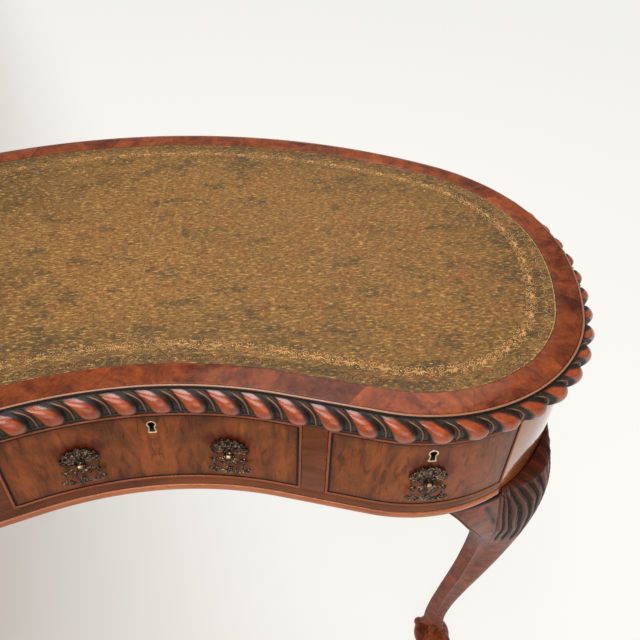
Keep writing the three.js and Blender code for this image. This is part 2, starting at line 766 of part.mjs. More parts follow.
function makeHandle(name, x) {
  const along = alongAtX(x, -faceInset);
  // In the hollow a flat plate touches at its edges, on a lobe at its middle
  const inHollow = Math.abs(along) < outline[0].length;
  const stand = inHollow ? 2 * seam + (crownWidth / 2) ** 2 / (2 * hollowRadius) : seam;
  const group = onFace(along, -faceInset + stand, topZ - handleDrop);
  const eyeOuter = pinRadius + pinPlay + eyeWall;
  const earX = eyeWidth / 2 + pinPlay;
  const ear = (side) => box(
    side > 0 ? earX : -earX - earWidth, side > 0 ? earX + earWidth : -earX,
    crownThickness / 2, pinStand + eyeOuter, -eyeOuter, eyeOuter,
  );
  const pin = crossRod(pinRadius, pinLength).translate(0, pinStand, 0);
  const crown = joined(upright(crownShape(), 0, crownThickness, crownCurveSteps), ear(-1), ear(1), pin);
  add(`${name}_handle_plate`, crown, 'antiqueBrass', group);
  const eye = crossRod(eyeOuter, eyeWidth).translate(0, pinStand, 0);
  const halfThick = dropThickness / 2;
  const hung = upright(dropShape(), pinStand - halfThick, pinStand + halfThick, dropCurveSteps);
  const bore = crossRod(pinRadius + pinPlay, overrun).translate(0, pinStand, 0);
  const drop = joined(eye, hung).subtract(solid(bore));
  add(`${name}_handle_drop`, drop, 'brass', group);
}

// Legs. A level is a height with the half width along the outline, how far the middle and the
// edges of the outer face stand out from the lip, and how far in the back goes.
const legHeight = friezeBottomZ - seam;
const kneeLevelShares = [
  // height share of the leg, half width share of the ear's reach, then shares of kneeProud
  // for the outer middle and the outer edge, and shares of footInset for the back
  [1.0, 1.0, 0.72, -0.12, 1.1],
  [0.965, 0.89, 0.98, -0.12, 1.12],
  [0.9, 0.72, 1.14, -0.16, 1.1],
  [0.81, 0.48, 1.02, -0.3, 1.0],
  [0.72, 0.31, 0.76, -0.6, 0.88],
  [0.62, 0.215, 0.36, -0.86, 0.86],
  [0.5, 0.17, -0.2, -1.16, 0.98],
  [0.37, 0.135, -0.84, -1.6, 1.16],
  [0.25, 0.112, -1.34, -1.92, 1.34],
  [0.17, 0.106, -1.5, -2.04, 1.4],
  [0.11, 0.112, -1.4, -1.98, 1.38],
  [0.05, 0.085, -1.62, -1.98, 1.22],
];
// Height, half width and swell of the collar that the knee carries up over the frieze's lower
// edge, as high as the bead; its root lies inside the knee
const collarShares = [
  [-1.2, 0.62, 0.42],
  [0.03, 0.97, 0.62],
  [0.5, 0.96, 0.5],
  [0.82, 0.95, 0.3],
  [1, 0.92, 0.06],
];
const crossShares = [-1, -0.66, -0.28, 0, 0.28, 0.66, 1];
const crestPower = 1.35;
const hollowPower = 0.8;

// Outer face of a level, crested in its middle
const crested = (along, half, proud, edge) => crossShares.map((share) => ({
  s: along + half * share,
  out: edge + (proud - edge) * Math.cos((Math.PI / 2) * share) ** crestPower,
}));

const levelFrom = (points, z) => ({
  ring: points.map((p) => edgePoint(p.s, p.out, z)),
  shape: points.map((p) => new THREE.Vector2(p.s, p.out)),
});

const loftLevels = (levels) => loft(
  levels.map((level) => level.ring),
  [levels[0].shape, levels[levels.length - 1].shape],
);

function legLevel(along, z, half, proud, edge, inner) {
  const earBack = Math.max(-inner, edge - friezeThickness);
  const postHalf = Math.min(half, postReach);
  const rear = crossShares.slice(1, -1).reverse().map((share) => {
    const hollow = Math.cos((Math.PI / 2) * share) ** hollowPower;
    return { s: along + postHalf * share, out: earBack + (-inner - earBack) * hollow };
  });
  return levelFrom([...crested(along, half, proud, edge), ...rear], z);
}

// Collar on top of the knee, which laps up over the frieze's lower edge
const collarBack = -faceInset + 2 * seam;
function collarLevel(along, rise, widthShare, proudShare) {
  const half = kneeHalf * widthShare;
  const edge = collarBack + beadProud;
  const back = crossShares.slice().reverse().map((share) => ({ s: along + half * share, out: collarBack }));
  const face = crested(along, half, edge + kneeProud * proudShare, edge);
  return levelFrom([...face, ...back], legHeight + kneeRise * rise);
}

// A claw from inside the ankle, out over the ball and down to the floor: its reach as shares
// of the ankle's or the ball's radius, its height as shares of the ball's, its own radius as
// shares of the ankle's
const clawShares = [
  { ankle: 0.3, height: 1.34, radius: 0.46 },
  { ankle: 0.84, height: 1.02, radius: 0.5 },
  { ball: 0.72, height: 0.84, radius: 0.42 },
  { ball: 0.98, height: 0.52, radius: 0.34 },
  { ball: 0.79, height: 0.12, radius: 0.2 },
];
const clawSides = 6;
const clawTurns = [0, Math.PI / 2, Math.PI, -Math.PI / 2];
function claw(along, turn) {
  const { out } = place(along);
  const centre = edgePoint(along, -footInset, 0);
  const facing = Math.atan2(out.y, out.x) + turn;
  const points = clawShares.map(({ ankle = 0, ball = 0, height }) => {
    const reach = polar(facing, ankle * ankleRadius + ball * ballRadius);
    return new THREE.Vector3(centre.x + reach.x, centre.y + reach.y, height * ballHeight);
  });
  const circle = [];
  for (let side = 0; side < clawSides; side++) circle.push(polar((2 * Math.PI * side) / clawSides, 1));
  const rings = points.map((point, i) => {
    const next = points[Math.min(i + 1, points.length - 1)];
    const heading = next.clone().sub(points[Math.max(i - 1, 0)]).normalize();
    const side = new THREE.Vector3(0, 0, 1).cross(heading).normalize();
    const across = heading.clone().cross(side);
    const radius = clawShares[i].radius * ankleRadius;
    return circle.map((spot) => point.clone()
      .addScaledVector(side, spot.x * radius)
      .addScaledVector(across, spot.y * radius));
  });
  return loft(rings, [circle, circle]);
}

// Ball cut off flat at the sole, with a neck up inside the ankle that the claws close on, in
// shares of the ankle's radius and the ball's height
const ballSides = 12;
const ballSteps = 4;
const neckShares = [[0.8, 1], [0.6, 1.25], [0, 1.25]];
function makeBall(along) {
  const lowest = -Math.acos(soleRadius / ballRadius);
  const tall = ballHeight / (1 - Math.sin(lowest));
  const profile = [new THREE.Vector2(0, 0), new THREE.Vector2(soleRadius, 0)];
  for (let step = 1; step < ballSteps; step++) {
    const angle = lowest + ((Math.PI / 2 - lowest) * step) / ballSteps;
    const height = tall * (Math.sin(angle) - Math.sin(lowest));
    profile.push(new THREE.Vector2(ballRadius * Math.cos(angle), height));
  }
  for (const [radius, height] of neckShares) {
    profile.push(new THREE.Vector2(radius * ankleRadius, height * ballHeight));
  }
  const centre = edgePoint(along, -footInset, 0);
  return new THREE.LatheGeometry(profile, ballSides).rotateX(Math.PI / 2).translate(centre.x, centre.y, 0);
}

function makeLeg(row, along) {
  const levels = kneeLevelShares.map(([height, width, proud, edge, back]) => legLevel(
    along, height * legHeight, width * earReach, proud * kneeProud, edge * kneeProud, back * footInset,
  ));
  const collar = loftLevels(collarShares.map((shares) => collarLevel(along, ...shares)));
  const claws = clawTurns.map((turn) => claw(along, turn));
  const whole = joined(loftLevels(levels), makeBall(along), collar, ...claws);
  const floor = solid(box(-deskHeight, deskHeight, -deskHeight, deskHeight, -overrun, 0));
  const right = whole.subtract(floor);
  add(`${row}_leg_right`, right, 'carved');
  add(`${row}_leg_left`, right.mirror([1, 0, 0]), 'carved');
}

makeTop();
makeEdge();
makeFrieze();
makeFront();
makeCarcase();
const sideNear = centreDrawerHalf + stileWidth;
makeDrawer(locks[0], -drawersEnd, -sideNear);
makeDrawer(locks[1], -centreDrawerHalf, centreDrawerHalf);
makeDrawer(locks[2], sideNear, drawersEnd);
makeHandle('left', -sideHandleX);
makeHandle('centre_left', -centreHandleX);
makeHandle('centre_right', centreHandleX);
makeHandle('right', sideHandleX);
makeLeg('front', frontLegAlong);
makeLeg('rear', rearLegAlong);

export default desk;
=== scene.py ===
# Looks of a kidney shaped writing desk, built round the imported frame. Metres, +Z up, the
# drawers face -Y. A place on the desk is a distance along the lip of the top from the middle
# of the front, positive towards the sitter's right, a distance out from the lip, and a height.
import math

import bmesh
import bpy
import numpy as np
from mathutils import Matrix, Vector


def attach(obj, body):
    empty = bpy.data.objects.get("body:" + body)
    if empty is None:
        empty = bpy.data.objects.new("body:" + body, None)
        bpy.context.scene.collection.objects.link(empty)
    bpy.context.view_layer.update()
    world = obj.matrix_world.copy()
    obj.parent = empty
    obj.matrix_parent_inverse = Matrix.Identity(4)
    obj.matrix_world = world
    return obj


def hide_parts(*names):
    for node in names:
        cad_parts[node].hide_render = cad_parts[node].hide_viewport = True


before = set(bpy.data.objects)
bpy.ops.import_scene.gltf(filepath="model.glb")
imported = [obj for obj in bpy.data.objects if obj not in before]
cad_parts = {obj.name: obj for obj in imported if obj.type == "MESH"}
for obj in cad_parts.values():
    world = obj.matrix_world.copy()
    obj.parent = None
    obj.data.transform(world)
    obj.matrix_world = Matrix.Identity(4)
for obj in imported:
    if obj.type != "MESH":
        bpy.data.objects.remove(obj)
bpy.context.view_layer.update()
MM = 0.001


# Camera at the photograph's place
CAMERA_PLACE = (0.1098, -0.7070, 1.2673)
CAMERA_PAN, CAMERA_TILT, CAMERA_ROLL = 8.0, 41.52, 2.63
CAMERA_LENS, CAMERA_SENSOR = 37.24, 36.0


def make_camera():
    data = bpy.data.cameras.new("camera")
    data.lens = CAMERA_LENS
    data.sensor_width = CAMERA_SENSOR
    camera = bpy.data.objects.new("camera", data)
    bpy.context.scene.collection.objects.link(camera)
    pan, tilt, roll = (math.radians(a) for a in (CAMERA_PAN, CAMERA_TILT, CAMERA_ROLL))
    forward = Vector((math.sin(pan) * math.cos(tilt), math.cos(pan) * math.cos(tilt), -math.sin(tilt)))
    level = Vector((math.cos(pan), -math.sin(pan), 0))
    upright = level.cross(forward)
    right = level * math.cos(roll) + upright * math.sin(roll)
    up = upright * math.cos(roll) - level * math.sin(roll)
    turn = Matrix((right, up, -forward)).transposed()
    camera.matrix_world = Matrix.Translation(CAMERA_PLACE) @ turn.to_4x4()
    bpy.context.scene.camera = camera


make_camera()


# Outline of the top's lip: tangent arcs from the middle of the front, round the hollow, a
# straight run, the front lobe, the shoulder, the end, and the long back
HOLLOW_RADIUS, HOLLOW_RUN, LOBE_RADIUS = 446.7 * MM, 103.6 * MM, 209.4 * MM
SHOULDER_RADIUS, END_RADIUS, BACK_RADIUS = 405.4 * MM, 267.9 * MM, 734.4 * MM
BACK_END, END_END, SHOULDER_END = (math.radians(a) for a in (57.4, -4, -20.5))


def polar(angle, radius):
    return np.array([math.cos(angle), math.sin(angle)]) * radius


def make_outline():
    """Pieces of the right half of the outline, their lengths, and the lobe's last angle"""
    back = np.array([0, -BACK_RADIUS])
    end = back + polar(BACK_END, BACK_RADIUS - END_RADIUS)
    shoulder = end + polar(END_END, END_RADIUS - SHOULDER_RADIUS)
    lobe = shoulder + polar(SHOULDER_END, SHOULDER_RADIUS - LOBE_RADIUS)
    reach = LOBE_RADIUS + HOLLOW_RADIUS
    lobe_end = math.atan2(HOLLOW_RUN, reach) - math.acos(-lobe[0] / math.hypot(reach, HOLLOW_RUN))
    run_outer = lobe + polar(lobe_end, LOBE_RADIUS)
    run_inner = run_outer + polar(lobe_end - math.pi / 2, HOLLOW_RUN)
    hollow = run_inner + polar(lobe_end, HOLLOW_RADIUS)
    lift = np.array([0, (LOBE_RADIUS - lobe[1]) / 2])
    pieces = [
        ("arc", hollow + lift, HOLLOW_RADIUS, math.pi / 2, lobe_end + math.pi, -1),
        ("run", run_inner + lift, run_outer + lift, lobe_end),
        ("arc", lobe + lift, LOBE_RADIUS, lobe_end, SHOULDER_END, 1),
        ("arc", shoulder + lift, SHOULDER_RADIUS, SHOULDER_END, END_END, 1),
        ("arc", end + lift, END_RADIUS, END_END, BACK_END, 1),
        ("arc", back + lift, BACK_RADIUS, BACK_END, math.pi / 2, 1),
    ]
    lengths = [
        abs(p[4] - p[3]) * p[2] if p[0] == "arc" else float(np.linalg.norm(p[2] - p[1])) for p in pieces
    ]
    return pieces, lengths, lobe_end


OUTLINE, OUTLINE_LENGTHS, LOBE_END = make_outline()
HALF_LENGTH = sum(OUTLINE_LENGTHS)
LOBE_START = OUTLINE_LENGTHS[0] + OUTLINE_LENGTHS[1]
BACK_START = HALF_LENGTH - OUTLINE_LENGTHS[5]


def outline_at(along):
    """Points on the lip and outward directions at an array of distances along it"""
    along = np.asarray(along, float)
    wrapped = (along + HALF_LENGTH) % (2 * HALF_LENGTH) - HALF_LENGTH
    left = np.abs(wrapped)
    points = np.zeros(along.shape + (2,))
    outward = np.zeros(along.shape + (2,))
    start = 0.0
    for piece, length in zip(OUTLINE, OUTLINE_LENGTHS):
        here = left >= start - 1e-12
        share = np.clip((left - start) / length, 0, 1)[here]
        if piece[0] == "arc":
            _, centre, radius, first, last, side = piece
            angle = first + (last - first) * share
            ray = np.stack([np.cos(angle), np.sin(angle)], -1)
            points[here] = centre + ray * radius
            outward[here] = ray * side
        else:
            _, first, last, angle = piece
            points[here] = first + (last - first) * share[..., None]
            outward[here] = polar(angle, 1)
        start += length
    mirror = np.where(wrapped < 0, -1, 1)
    points[..., 0] *= mirror
    outward[..., 0] *= mirror
    return points, outward


def bend(along, out, z):
    """Points of the desk from arrays of distance along, distance out and height"""
    along, out, z = np.broadcast_arrays(along, out, z)
    points, outward = outline_at(along)
    flat = points + outward * np.asarray(out, float)[..., None]
    return np.concatenate([flat, np.asarray(z, float)[..., None]], -1)


def along_at_angle(degrees):
    """Distance along the lobe's arc, or the back's, at an angle about its centre"""
    angle = math.radians(degrees)
    if angle > BACK_END:
        return BACK_START + (angle - BACK_END) * BACK_RADIUS
    return LOBE_START + (angle - LOBE_END) * LOBE_RADIUS


def along_at_x(x, out):
    """Distance along the front where a face set out by some way stands at a given x"""
    low, high = 0.0, along_at_angle(-42)
    for _ in range(40):
        middle = (low + high) / 2
        if bend(middle, out, 0)[0] < abs(x):
            low = middle
        else:
            high = middle
    return math.copysign(low, x)


# Heights and depths of the desk
TOP_Z = 775 * MM
LIP_WIDTH, BORDER_WIDTH = 2.6 * MM, 31.3 * MM
VENEER_THICKNESS, HIDE_DROP, HIDE_THICKNESS = 2 * MM, 0.3 * MM, 1.7 * MM
EDGE_BOTTOM_Z, EDGE_THICKNESS = 732.3 * MM, 14 * MM
FRIEZE_TOP_Z, FRIEZE_BOTTOM_Z = 731.95 * MM, 594.5 * MM
BEAD_TOP_Z, RAIL_BOTTOM_Z, RAIL_TOP_Z = 604.2 * MM, 604.55 * MM, 618.55 * MM
BEAD_PROUD, FRONT_THICKNESS = 2.2 * MM, 20 * MM
DRAWER_BOTTOM_Z, DRAWER_TOP_Z = 619.15 * MM, 731.4 * MM
FACE_OUT, FRIEZE_THICKNESS, RAIL_DEPTH = -1.5 * MM, 19 * MM, 48.5 * MM
SEAM, DRAWER_GAP = 0.35 * MM, 0.6 * MM
CENTRE_DRAWER_HALF, STILE_WIDTH, DRAWERS_END = 158.3 * MM, 25.8 * MM, 392.9 * MM
FRONT_LEG, REAR_LEG = along_at_angle(-42), along_at_angle(60.1)
KNEE_HALF = 72 * MM
INNER_HANDLE_X, SIDE_HANDLE_X = 80.4 * MM, 291.7 * MM
HANDLES = {
    "left": -SIDE_HANDLE_X, "centre_left": -INNER_HANDLE_X,
    "centre_right": INNER_HANDLE_X, "right": SIDE_HANDLE_X,
}
STAIN_Z = TOP_Z - 91 * MM
TOOL_Z, TOOL_HEIGHT = TOP_Z - HIDE_DROP + 0.02 * MM, 0.09 * MM
BURR_LEAVES, RING_ROWS = 22, 720


# Meshes
def new_object(name, mesh, material=None):
    piece = bpy.data.objects.new(name, mesh)
    bpy.context.scene.collection.objects.link(piece)
    if material is not None:
        mesh.materials.append(material)
    return piece


def mesh_of(name, points, faces):
    mesh = bpy.data.meshes.new(name)
    mesh.from_pydata(np.asarray(points, float).reshape(-1, 3).tolist(), [], faces)
    mesh.update()
    mesh.shade_smooth()
    return mesh


def turn_outwards(mesh):
    """Merges doubled points and turns the faces outwards"""
    work = bmesh.new()
    work.from_mesh(mesh)
    bmesh.ops.remove_doubles(work, verts=work.verts, dist=1e-6)
    bmesh.ops.recalc_face_normals(work, faces=work.faces)
    work.to_mesh(mesh)
    work.free()
    mesh.update()


def sharpen(piece, degrees=40):
    """Keeps edges sharper than an angle crisp under smooth shading"""
    work = bmesh.new()
    work.from_mesh(piece.data)
    limit = math.radians(degrees)
    for edge in work.edges:
        edge.smooth = not (len(edge.link_faces) == 2 and edge.calc_face_angle(0) > limit)
    work.to_mesh(piece.data)
    work.free()
    return piece


def point_values(mesh, name, values):
    attribute = mesh.attributes.new(name, "FLOAT", "POINT")
    attribute.data.foreach_set("value", np.asarray(values, np.float32).ravel())


def lay_flat(mesh, coordinates, closed=False):
    """Writes the UV map "flat" from one pair of coordinates a point. In a closed ring of
    four-cornered faces, the last ones run on past the end and not back to the start."""
    index = np.zeros(len(mesh.loops), np.int32)
    mesh.loops.foreach_get("vertex_index", index)
    corners = np.asarray(coordinates, float).reshape(-1, 2)[index]
    if closed:
        run = corners.reshape(-1, 4, 2)[..., 0]
        joint = (run.max(1) - run.min(1) > HALF_LENGTH)[:, None] & (run < 0)
        run[joint] += 2 * HALF_LENGTH
    mesh.uv_layers.new(name="flat").data.foreach_set("uv", corners.astype(np.float32).ravel())


def solid(name, points, faces, look, degrees=40, flat=None, closed=False, **values):
    """A closed solid with crisp edges, its UV map and the named values of its points"""
    mesh = mesh_of(name, points, faces)
    if flat is not None:
        lay_flat(mesh, flat, closed)
    for title, row in values.items():
        point_values(mesh, title, row)
    turn_outwards(mesh)
    return sharpen(new_object(name, mesh, LOOKS[look]), degrees)


def settle(piece):
    """Replaces a piece's modifiers by the plain mesh that they make"""
    bpy.context.view_layer.update()
    graph = bpy.context.evaluated_depsgraph_get()
    mesh = bpy.data.meshes.new_from_object(piece.evaluated_get(graph), depsgraph=graph)
    piece.modifiers.clear()
    old, piece.data = piece.data, mesh
    bpy.data.meshes.remove(old)


def finished(piece, body, slot, *nodes):
    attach(piece, body)
    if nodes:
        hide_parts(*nodes)


def grid_faces(rows, columns, close_rows=False, close_columns=False, start=0):
    faces = []
    for i in range(rows if close_rows else rows - 1):
        for j in range(columns if close_columns else columns - 1):
            here, there = start + i * columns, start + (i + 1) % rows * columns
            after = (j + 1) % columns
            faces.append((here + j, here + after, there + after, there + j))
    return faces


def end_faces(rows, columns, start=0):
    """The two faces that close the ends of a grid"""
    last = start + (rows - 1) * columns
    return [tuple(range(start, start + columns)), tuple(range(last, last + columns))]


def steps(first, last, spacing=4 * MM):
    return np.linspace(first, last, max(2, int(math.ceil(abs(last - first) / spacing)) + 1))


def full_turn(count):
    """Distances all round the top"""
    return np.linspace(-HALF_LENGTH, HALF_LENGTH, count, endpoint=False)


def span(x_first, x_last, spacing=4 * MM):
    """Rows of distances along the front between two upright planes, for a band's ends"""
    count = len(steps(x_first, x_last, spacing))
    return lambda out: np.linspace(along_at_x(x_first, out), along_at_x(x_last, out), count)


def carried(alongs, section):
    """A section of (out, z) points carried along the lip, as distances along, distances out
    and heights. alongs is a row of distances, or gives one for each out where the ends are
    cut on a slant."""
    rows = [np.asarray(alongs(out) if callable(alongs) else alongs, float) for out, _ in section]
    along = np.stack(rows, 1)
    out, z = (np.broadcast_to(values, along.shape) for values in zip(*section))
    return along, out, z


def sweep(name, alongs, section, look, closed=False):
    """A closed section carried along the lip. Its ends are closed unless it goes all round."""
    along, out, z = carried(alongs, section)
    faces = grid_faces(*along.shape, close_rows=closed, close_columns=True)
    if not closed:
        faces += end_faces(*along.shape)
    run = np.concatenate([[0], np.cumsum(np.hypot(*np.diff(np.array(section), axis=0).T))])
    flat = np.stack([along, np.broadcast_to(run, along.shape)], -1)
    return solid(name, bend(along, out, z), faces, look, flat=flat)


def rounded(corners, radius, count=3):
    """A closed section with each corner turned by a quadratic curve"""
    section = []
    for i, corner in enumerate(corners):
        corner = np.array(corner, float)
        before, after = np.array(corners[i - 1], float), np.array(corners[(i + 1) % len(corners)], float)
        cuts = []
        for other in (before, after):
            length = np.linalg.norm(other - corner)
            cuts.append(corner + (other - corner) * min(radius, length * 0.45) / length)
        for t in np.linspace(0, 1, count + 1):
            section.append(tuple(cuts[0] * (1 - t) ** 2 + corner * 2 * t * (1 - t) + cuts[1] * t * t))
    return section


def smooth_line(spots, count):
    """A Catmull-Rom line through a row of points"""
    spots = np.asarray(spots, float)
    padded = np.vstack([2 * spots[0] - spots[1], spots, 2 * spots[-1] - spots[-2]])
    place = np.linspace(0, len(spots) - 1 - 1e-9, count)
    i = place.astype(int)
    t = (place - i)[:, None]
    a, b, c, d = (padded[i + k] for k in range(4))
    return 0.5 * (2 * b + (c - a) * t + (2 * a - 5 * b + 4 * c - d) * t ** 2
                  + (3 * b - a - 3 * c + d) * t ** 3)


class Shape:
    """Points, faces and a value for each point, gathered form by form"""

    def __init__(self):
        self.points, self.faces, self.values = [], [], []

    def add_rings(self, rings, values=0.0, tip=None, tip_value=0.0):
        """Closed rings of points in a row, with a face over either end. With a tip, a fan
        round it takes the place of the first face."""
        rings = np.asarray(rings, float)
        rows, columns = rings.shape[:2]
        start = len(self.points)
        self.points.extend(rings.reshape(-1, 3).tolist())
        self.values.extend(np.broadcast_to(values, (rows, columns)).ravel().tolist())
        ends = end_faces(rows, columns, start)
        if tip is not None:
            middle = len(self.points)
            self.points.append(tuple(tip))
            self.values.append(tip_value)
            ends[:1] = [(middle, start + (j + 1) % columns, start + j) for j in range(columns)]
        self.faces.extend(grid_faces(rows, columns, close_columns=True, start=start) + ends)

    def add_tube(self, path, radii, sides, value=0.0, upright=(0, 0, 1), flat=1.0):
        """A tube round a path. flat presses its section along the upright direction."""
        path = np.asarray(path, float)
        heading = np.gradient(path, axis=0)
        heading /= np.maximum(np.linalg.norm(heading, axis=1, keepdims=True), 1e-12)
        side = np.cross(heading, np.asarray(upright, float))
        side /= np.maximum(np.linalg.norm(side, axis=1, keepdims=True), 1e-12)
        across = np.cross(side, heading)
        turn = np.linspace(0, 2 * np.pi, sides, endpoint=False)[None, :, None]
        ring = np.cos(turn) * side[:, None] + flat * np.sin(turn) * across[:, None]
        self.add_rings(path[:, None] + ring * np.broadcast_to(radii, len(path))[:, None, None], value)

    def add_boss(self, centre, radius):
        """A raised button on the face, turned about the line out of it. Takes millimetres."""
        turn = np.linspace(math.pi / 2, 0, 5)[1:, None]
        around = np.linspace(0, 2 * math.pi, 12, endpoint=False)
        x, y, z = np.array(centre, float) * MM
        radius = radius * MM
        rings = np.stack(np.broadcast_arrays(
            x + np.cos(around) * np.cos(turn) * radius, y + np.sin(turn) * radius * 0.8,
            z + np.sin(around) * np.cos(turn) * radius), -1)
        self.add_rings(rings, 0.5 - 0.5 * np.sin(turn), (x, y + radius * 0.8, z))


# Shader building. A Field is one output in a node tree: sums and products of Fields are nodes
# too, and a function below builds its node in the tree that its Fields belong to.
class Field:
    def __init__(self, socket):
        self.socket = socket

    def __add__(self, other):
        return maths("ADD", self, other)

    def __sub__(self, other):
        return maths("SUBTRACT", self, other)

    def __mul__(self, other):
        return maths("MULTIPLY", self, other)


def paint(red, green, blue):
    """A colour written as it looks on screen, from 0 to 255, as linear light"""
    return tuple(
        value / 12.92 if value <= 0.04045 else ((value + 0.055) / 1.055) ** 2.4
        for value in (red / 255, green / 255, blue / 255)
    )


def put(socket, value):
    if isinstance(value, Field):
        socket.id_data.links.new(value.socket, socket)
    elif socket.type == "RGBA" and len(value) == 3:
        socket.default_value = (*value, 1)
    else:
        socket.default_value = value


def node(tree, kind, inputs=None, output=0, **settings):
    """A new node with its settings and inputs, as the Field of one of its outputs"""
    made = tree.nodes.new(kind)
    for key, value in settings.items():
        setattr(made, key, value)
    for key, value in (inputs or {}).items():
        put(made.inputs[key], value)
    return Field(made.outputs[output])


def field(kind, inputs, output=0, **settings):
    tree = next(value.socket.id_data for value in inputs.values() if isinstance(value, Field))
    return node(tree, kind, inputs, output, **settings)


def maths(operation, first, second=0.0, third=0.0):
    return field("ShaderNodeMath", {0: first, 1: second, 2: third}, operation=operation)


def vector_maths(operation, first, second):
    key = "Scale" if operation == "SCALE" else 1
    return field("ShaderNodeVectorMath", {0: first, key: second}, operation=operation)


def spread(value, from_low, from_high, to_low=0.0, to_high=1.0, kind="LINEAR"):
    """A value mapped from one range to another and held there"""
    return field("ShaderNodeMapRange", {
        "Value": value, "From Min": from_low, "From Max": from_high, "To Min": to_low, "To Max": to_high,
    }, interpolation_type=kind)


def blend(factor, first, second, mode="MIX"):
    return field("ShaderNodeMix", {0: factor, 6: first, 7: second}, 2, data_type="RGBA", blend_type=mode)


def layered(colour, *layers):
    """Colours laid over a first one. A layer is a field, the range over which it is mapped,
    the cover at either end of the range, the colour, and the kind of mapping if not linear."""
    for value, low, high, first, last, tint, *kind in layers:
        colour = blend(spread(value, low, high, first, last, *kind), colour, paint(*tint))
    return colour


def noise(vector, scale, detail=4.0, roughness=0.5, distortion=0.0, output=0):
    return field("ShaderNodeTexNoise", {
        "Vector": vector, "Scale": scale, "Detail": detail, "Roughness": roughness, "Distortion": distortion,
    }, output)


def mapped(vector, scale=(1, 1, 1), turn=(0, 0, 0), place=(0, 0, 0)):
    return field("ShaderNodeMapping", {"Vector": vector, "Scale": scale, "Rotation": turn, "Location": place})


def parts(vector):
    """The three numbers of a vector"""
    return [Field(output) for output in field("ShaderNodeSeparateXYZ", {0: vector}).socket.node.outputs]


def joined(x=0.0, y=0.0, z=0.0):
    return field("ShaderNodeCombineXYZ", {0: x, 1: y, 2: z})


def bump(height, strength, distance):
    return field("ShaderNodeBump", {"Height": height, "Strength": strength, "Distance": distance})


def object_place(tree):
    return node(tree, "ShaderNodeTexCoord", output="Object")


def flat_place(tree):
    """Distance along the desk and distance round the section, from the piece's own UV map"""
    return node(tree, "ShaderNodeUVMap", uv_map="flat")


def attribute(tree, name):
    return node(tree, "ShaderNodeAttribute", output="Fac", attribute_name=name)


def shader_group(name, inputs, outputs):
    """A new group, the Fields it is given by name, and the sockets of its results"""
    tree = bpy.data.node_groups.new(name, "ShaderNodeTree")
    for title, value in inputs.items():
        kind = "Float" if isinstance(value, float) else "Color" if value else "Vector"
        socket = tree.interface.new_socket(name=title, in_out="INPUT", socket_type=f"NodeSocket{kind}")
        if value:
            socket.default_value = (*value, 1) if kind == "Color" else value
    for title in outputs:
        kind = "Color" if title == "Color" else "Float"
        tree.interface.new_socket(name=title, in_out="OUTPUT", socket_type=f"NodeSocket{kind}")
    given = {socket.name: Field(socket) for socket in tree.nodes.new("NodeGroupInput").outputs}
    return tree, given, tree.nodes.new("NodeGroupOutput").inputs


def use_group(group, inputs):
    output = field("ShaderNodeGroup", inputs, node_tree=group)
    return {socket.name: Field(socket) for socket in output.socket.node.outputs}


def new_material(name):
    material = bpy.data.materials.new(name)
    material.use_nodes = True
    tree = material.node_tree
    tree.nodes.clear()
    surface = tree.nodes.new("ShaderNodeBsdfPrincipled")
    put(tree.nodes.new("ShaderNodeOutputMaterial").inputs[0], Field(surface.outputs[0]))
    return material, tree, surface


def dress(surface, values):
    for key, value in values.items():
        put(surface.inputs[key], value)


# Shared effects
def make_figure_group():
    """Figured walnut: soft flames, fine streaks and short dark pores, streaked along Y"""
    tree, given, result = shader_group("walnut_figure", {
        "Vector": None, "Streak": 30.0, "Warp": 0.05, "Light": paint(150, 90, 50),
        "Dark": paint(80, 45, 25), "Contrast": 0.6,
    }, ("Color", "Tone", "Pores"))
    vector, streak = given["Vector"], given["Streak"]
    cloud = noise(vector, 9.0, 3.0, 0.55, output=1)
    swing = vector_maths("SUBTRACT", cloud, (0.5, 0.5, 0.5))
    warped = vector_maths("ADD", vector, vector_maths("SCALE", swing, given["Warp"]))
    along = vector_maths("MULTIPLY", warped, joined(streak, streak * 0.22, streak))
    flames = noise(along, 1.0, 5.0, 0.58, 0.6)
    streaks = noise(vector_maths("MULTIPLY", along, (5.0, 1.4, 5.0)), 1.0, 3.0, 0.55)
    patches = noise(warped, 13.0, 2.0, 0.5)
    tone = spread(patches * 0.4 + (flames * 0.62 + streaks * 0.22), 0.47, 0.78)
    fine = noise(vector_maths("MULTIPLY", vector, (1500, 90, 1500)), 1.0, 2.0, 0.5)
    pores = spread(fine, 0.36, 0.44, 1.0, 0.0)
    shade = field("ShaderNodeMix", {0: given["Contrast"], 2: 0.55, 3: tone})
    colour = blend(shade, given["Dark"], given["Light"])
    put(result["Color"], blend(pores * 0.25, colour, paint(40, 20, 12)))
    put(result["Tone"], tone)
    put(result["Pores"], pores)
    return tree


def make_burr_group():
    """Burr walnut: swirled knots, islands of tight curl, smoky patches and dark eyes"""
    tree, given, result = shader_group("burr_figure", {
        "Vector": None, "Light": paint(150, 70, 40), "Dark": paint(95, 38, 24),
    }, ("Color", "Tone"))
    vector = given["Vector"]
    swirl = noise(vector, 22.0, 5.0, 0.6, 1.8)
    curl = noise(vector, 80.0, 5.0, 0.7, 2.6)
    islands = noise(vector, 9.0, 3.0, 0.5, 0.9)
    tone = spread(islands * 0.4 + (swirl * 0.5 + curl * 0.36), 0.5, 0.76)
    smoke = noise(vector, 31.0, 3.0, 0.55, 1.2)
    colour = layered(blend(tone, given["Dark"], given["Light"]),
                     (smoke, 0.53, 0.68, 0.0, 0.55, (72, 40, 32)))
    eyes = spread(field("ShaderNodeTexVoronoi", {"Vector": vector, "Scale": 70.0}), 0.06, 0.2, 1.0, 0.0)
    eyes = eyes * spread(islands, 0.5, 0.62, 0.0, 0.7)
    put(result["Color"], blend(eyes, colour, paint(55, 20, 12)))
    put(result["Tone"], tone)
    return tree


